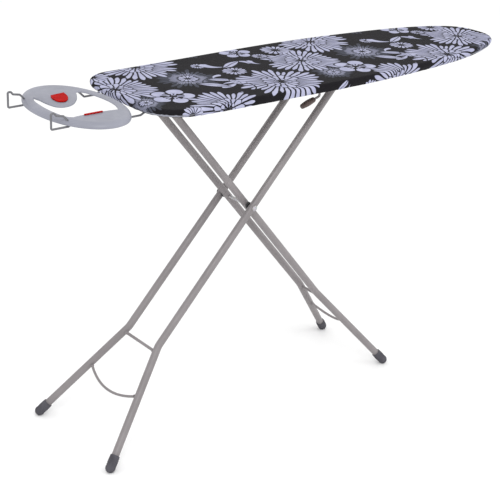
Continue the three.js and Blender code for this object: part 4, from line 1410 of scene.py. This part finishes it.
def make_hook():
    """The hook wire that reaches under the slider bar from the lever's shaft."""
    slider = centre_of("slider_bar")
    reach = [(LEVER_PIVOT.x + 0.0038, LEVER_PIVOT.z - 0.0005),
             (LEVER_PIVOT.x + 0.036, LEVER_PIVOT.z - 0.007), (slider.x + 0.012, LEVER_PIVOT.z - 0.031)]
    near = [Vector((x, -HOOK_HALF_WIDTH, z)) for x, z in reach]
    far = [Vector((x, HOOK_HALF_WIDTH, z)) for x, z in reversed(reach)]
    skin = rod(spaced(rounded(near + far, LEVER_BEND_RADIUS, 8), 0.01), HOOK_RADIUS, 16)
    new_piece("hook_wire", skin, "silver_paint", "lever", ["latch_hook"])


def make_spring():
    low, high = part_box("lever_spring")
    wire = 0.0008
    turns = 5
    steps = 24                       # in a turn
    radius = (high.z - low.z) / 2 - wire
    path = []
    for k in range(turns * steps + 1):
        angle = 2 * math.pi * k / steps
        path.append(Vector((LEVER_PIVOT.x + radius * math.cos(angle),
                            low.y + wire + (high.y - low.y - 2 * wire) * k / (turns * steps),
                            LEVER_PIVOT.z + radius * math.sin(angle))))
    new_piece("return_spring", rod(path, wire, 10), "bare_steel", "lever", ["lever_spring"])


make_lever()
make_hook()
make_spring()

# ---- pressed steel parts from the CAD

CARRIED_OVER = {
    "rib_wide_end": "grey_paint", "rib_middle": "grey_paint", "rib_nose": "grey_paint",
    "hinge_bracket_near": "grey_paint", "hinge_bracket_far": "grey_paint",
    "rack_near": "bare_steel", "rack_far": "bare_steel",
    "lever_lug_outer": "grey_paint", "lever_lug_inner": "grey_paint",
    "rail_clip_near_outer": "black_plastic", "rail_clip_near_inner": "black_plastic",
    "rail_clip_far_outer": "black_plastic", "rail_clip_far_inner": "black_plastic",
}
for node, slot in CARRIED_OVER.items():
    part = frame["nodes"][node]
    part.data.materials.clear()
    part.data.materials.append(MATERIALS[slot])
    weld = part.modifiers.new("weld", "WELD")
    weld.merge_threshold = 0.00002
    bevel = part.modifiers.new("eased_edges", "BEVEL")
    bevel.width = 0.0005
    bevel.segments = 2
    bevel.limit_method = "ANGLE"
    bevel.angle_limit = math.radians(35)
    bevel.harden_normals = False

# ---- studio


def make_studio():
    material, graph, shader, where = new_material("studio_floor")
    graph.finish(shader, {
        "Base Color": graph.mix(graph.noise(where, 1.2, 3.0), rgba(0.90, 0.90, 0.90), rgba(0.93, 0.93, 0.93)),
        "Roughness": 0.95,
        "Specular IOR Level": 0.0,
    })
    half = 30.0
    corners = [(x, y, -0.0004) for x, y in ((-half, -half), (half, -half), (half, half), (-half, half))]
    floor = bare_piece("floor", corners, [(0, 1, 2, 3)])
    floor.data.materials.append(material)

    world = bpy.data.worlds.new("studio")
    bpy.context.scene.world = world
    world.use_nodes = True
    sky = world.node_tree.nodes["Background"]
    sky.inputs["Color"].default_value = rgba(1.0, 1.0, 1.0)
    sky.inputs["Strength"].default_value = 1.08
    middle = (CAD_BOX[0] + CAD_BOX[1]) / 2
    for name, place, size, power in (("key", (-2.2, -2.6, 3.4), 2.4, 60.0),
                                     ("fill", (2.8, -2.4, 2.0), 2.6, 20.0)):
        data = bpy.data.lights.new(name, "AREA")
        data.shape = "DISK"
        data.size = size
        data.energy = power
        light = link(name, data)
        light.location = place
        light.rotation_euler = (middle - Vector(place)).to_track_quat("-Z", "Y").to_euler()
    bpy.context.scene.view_settings.view_transform = "Standard"


make_studio()
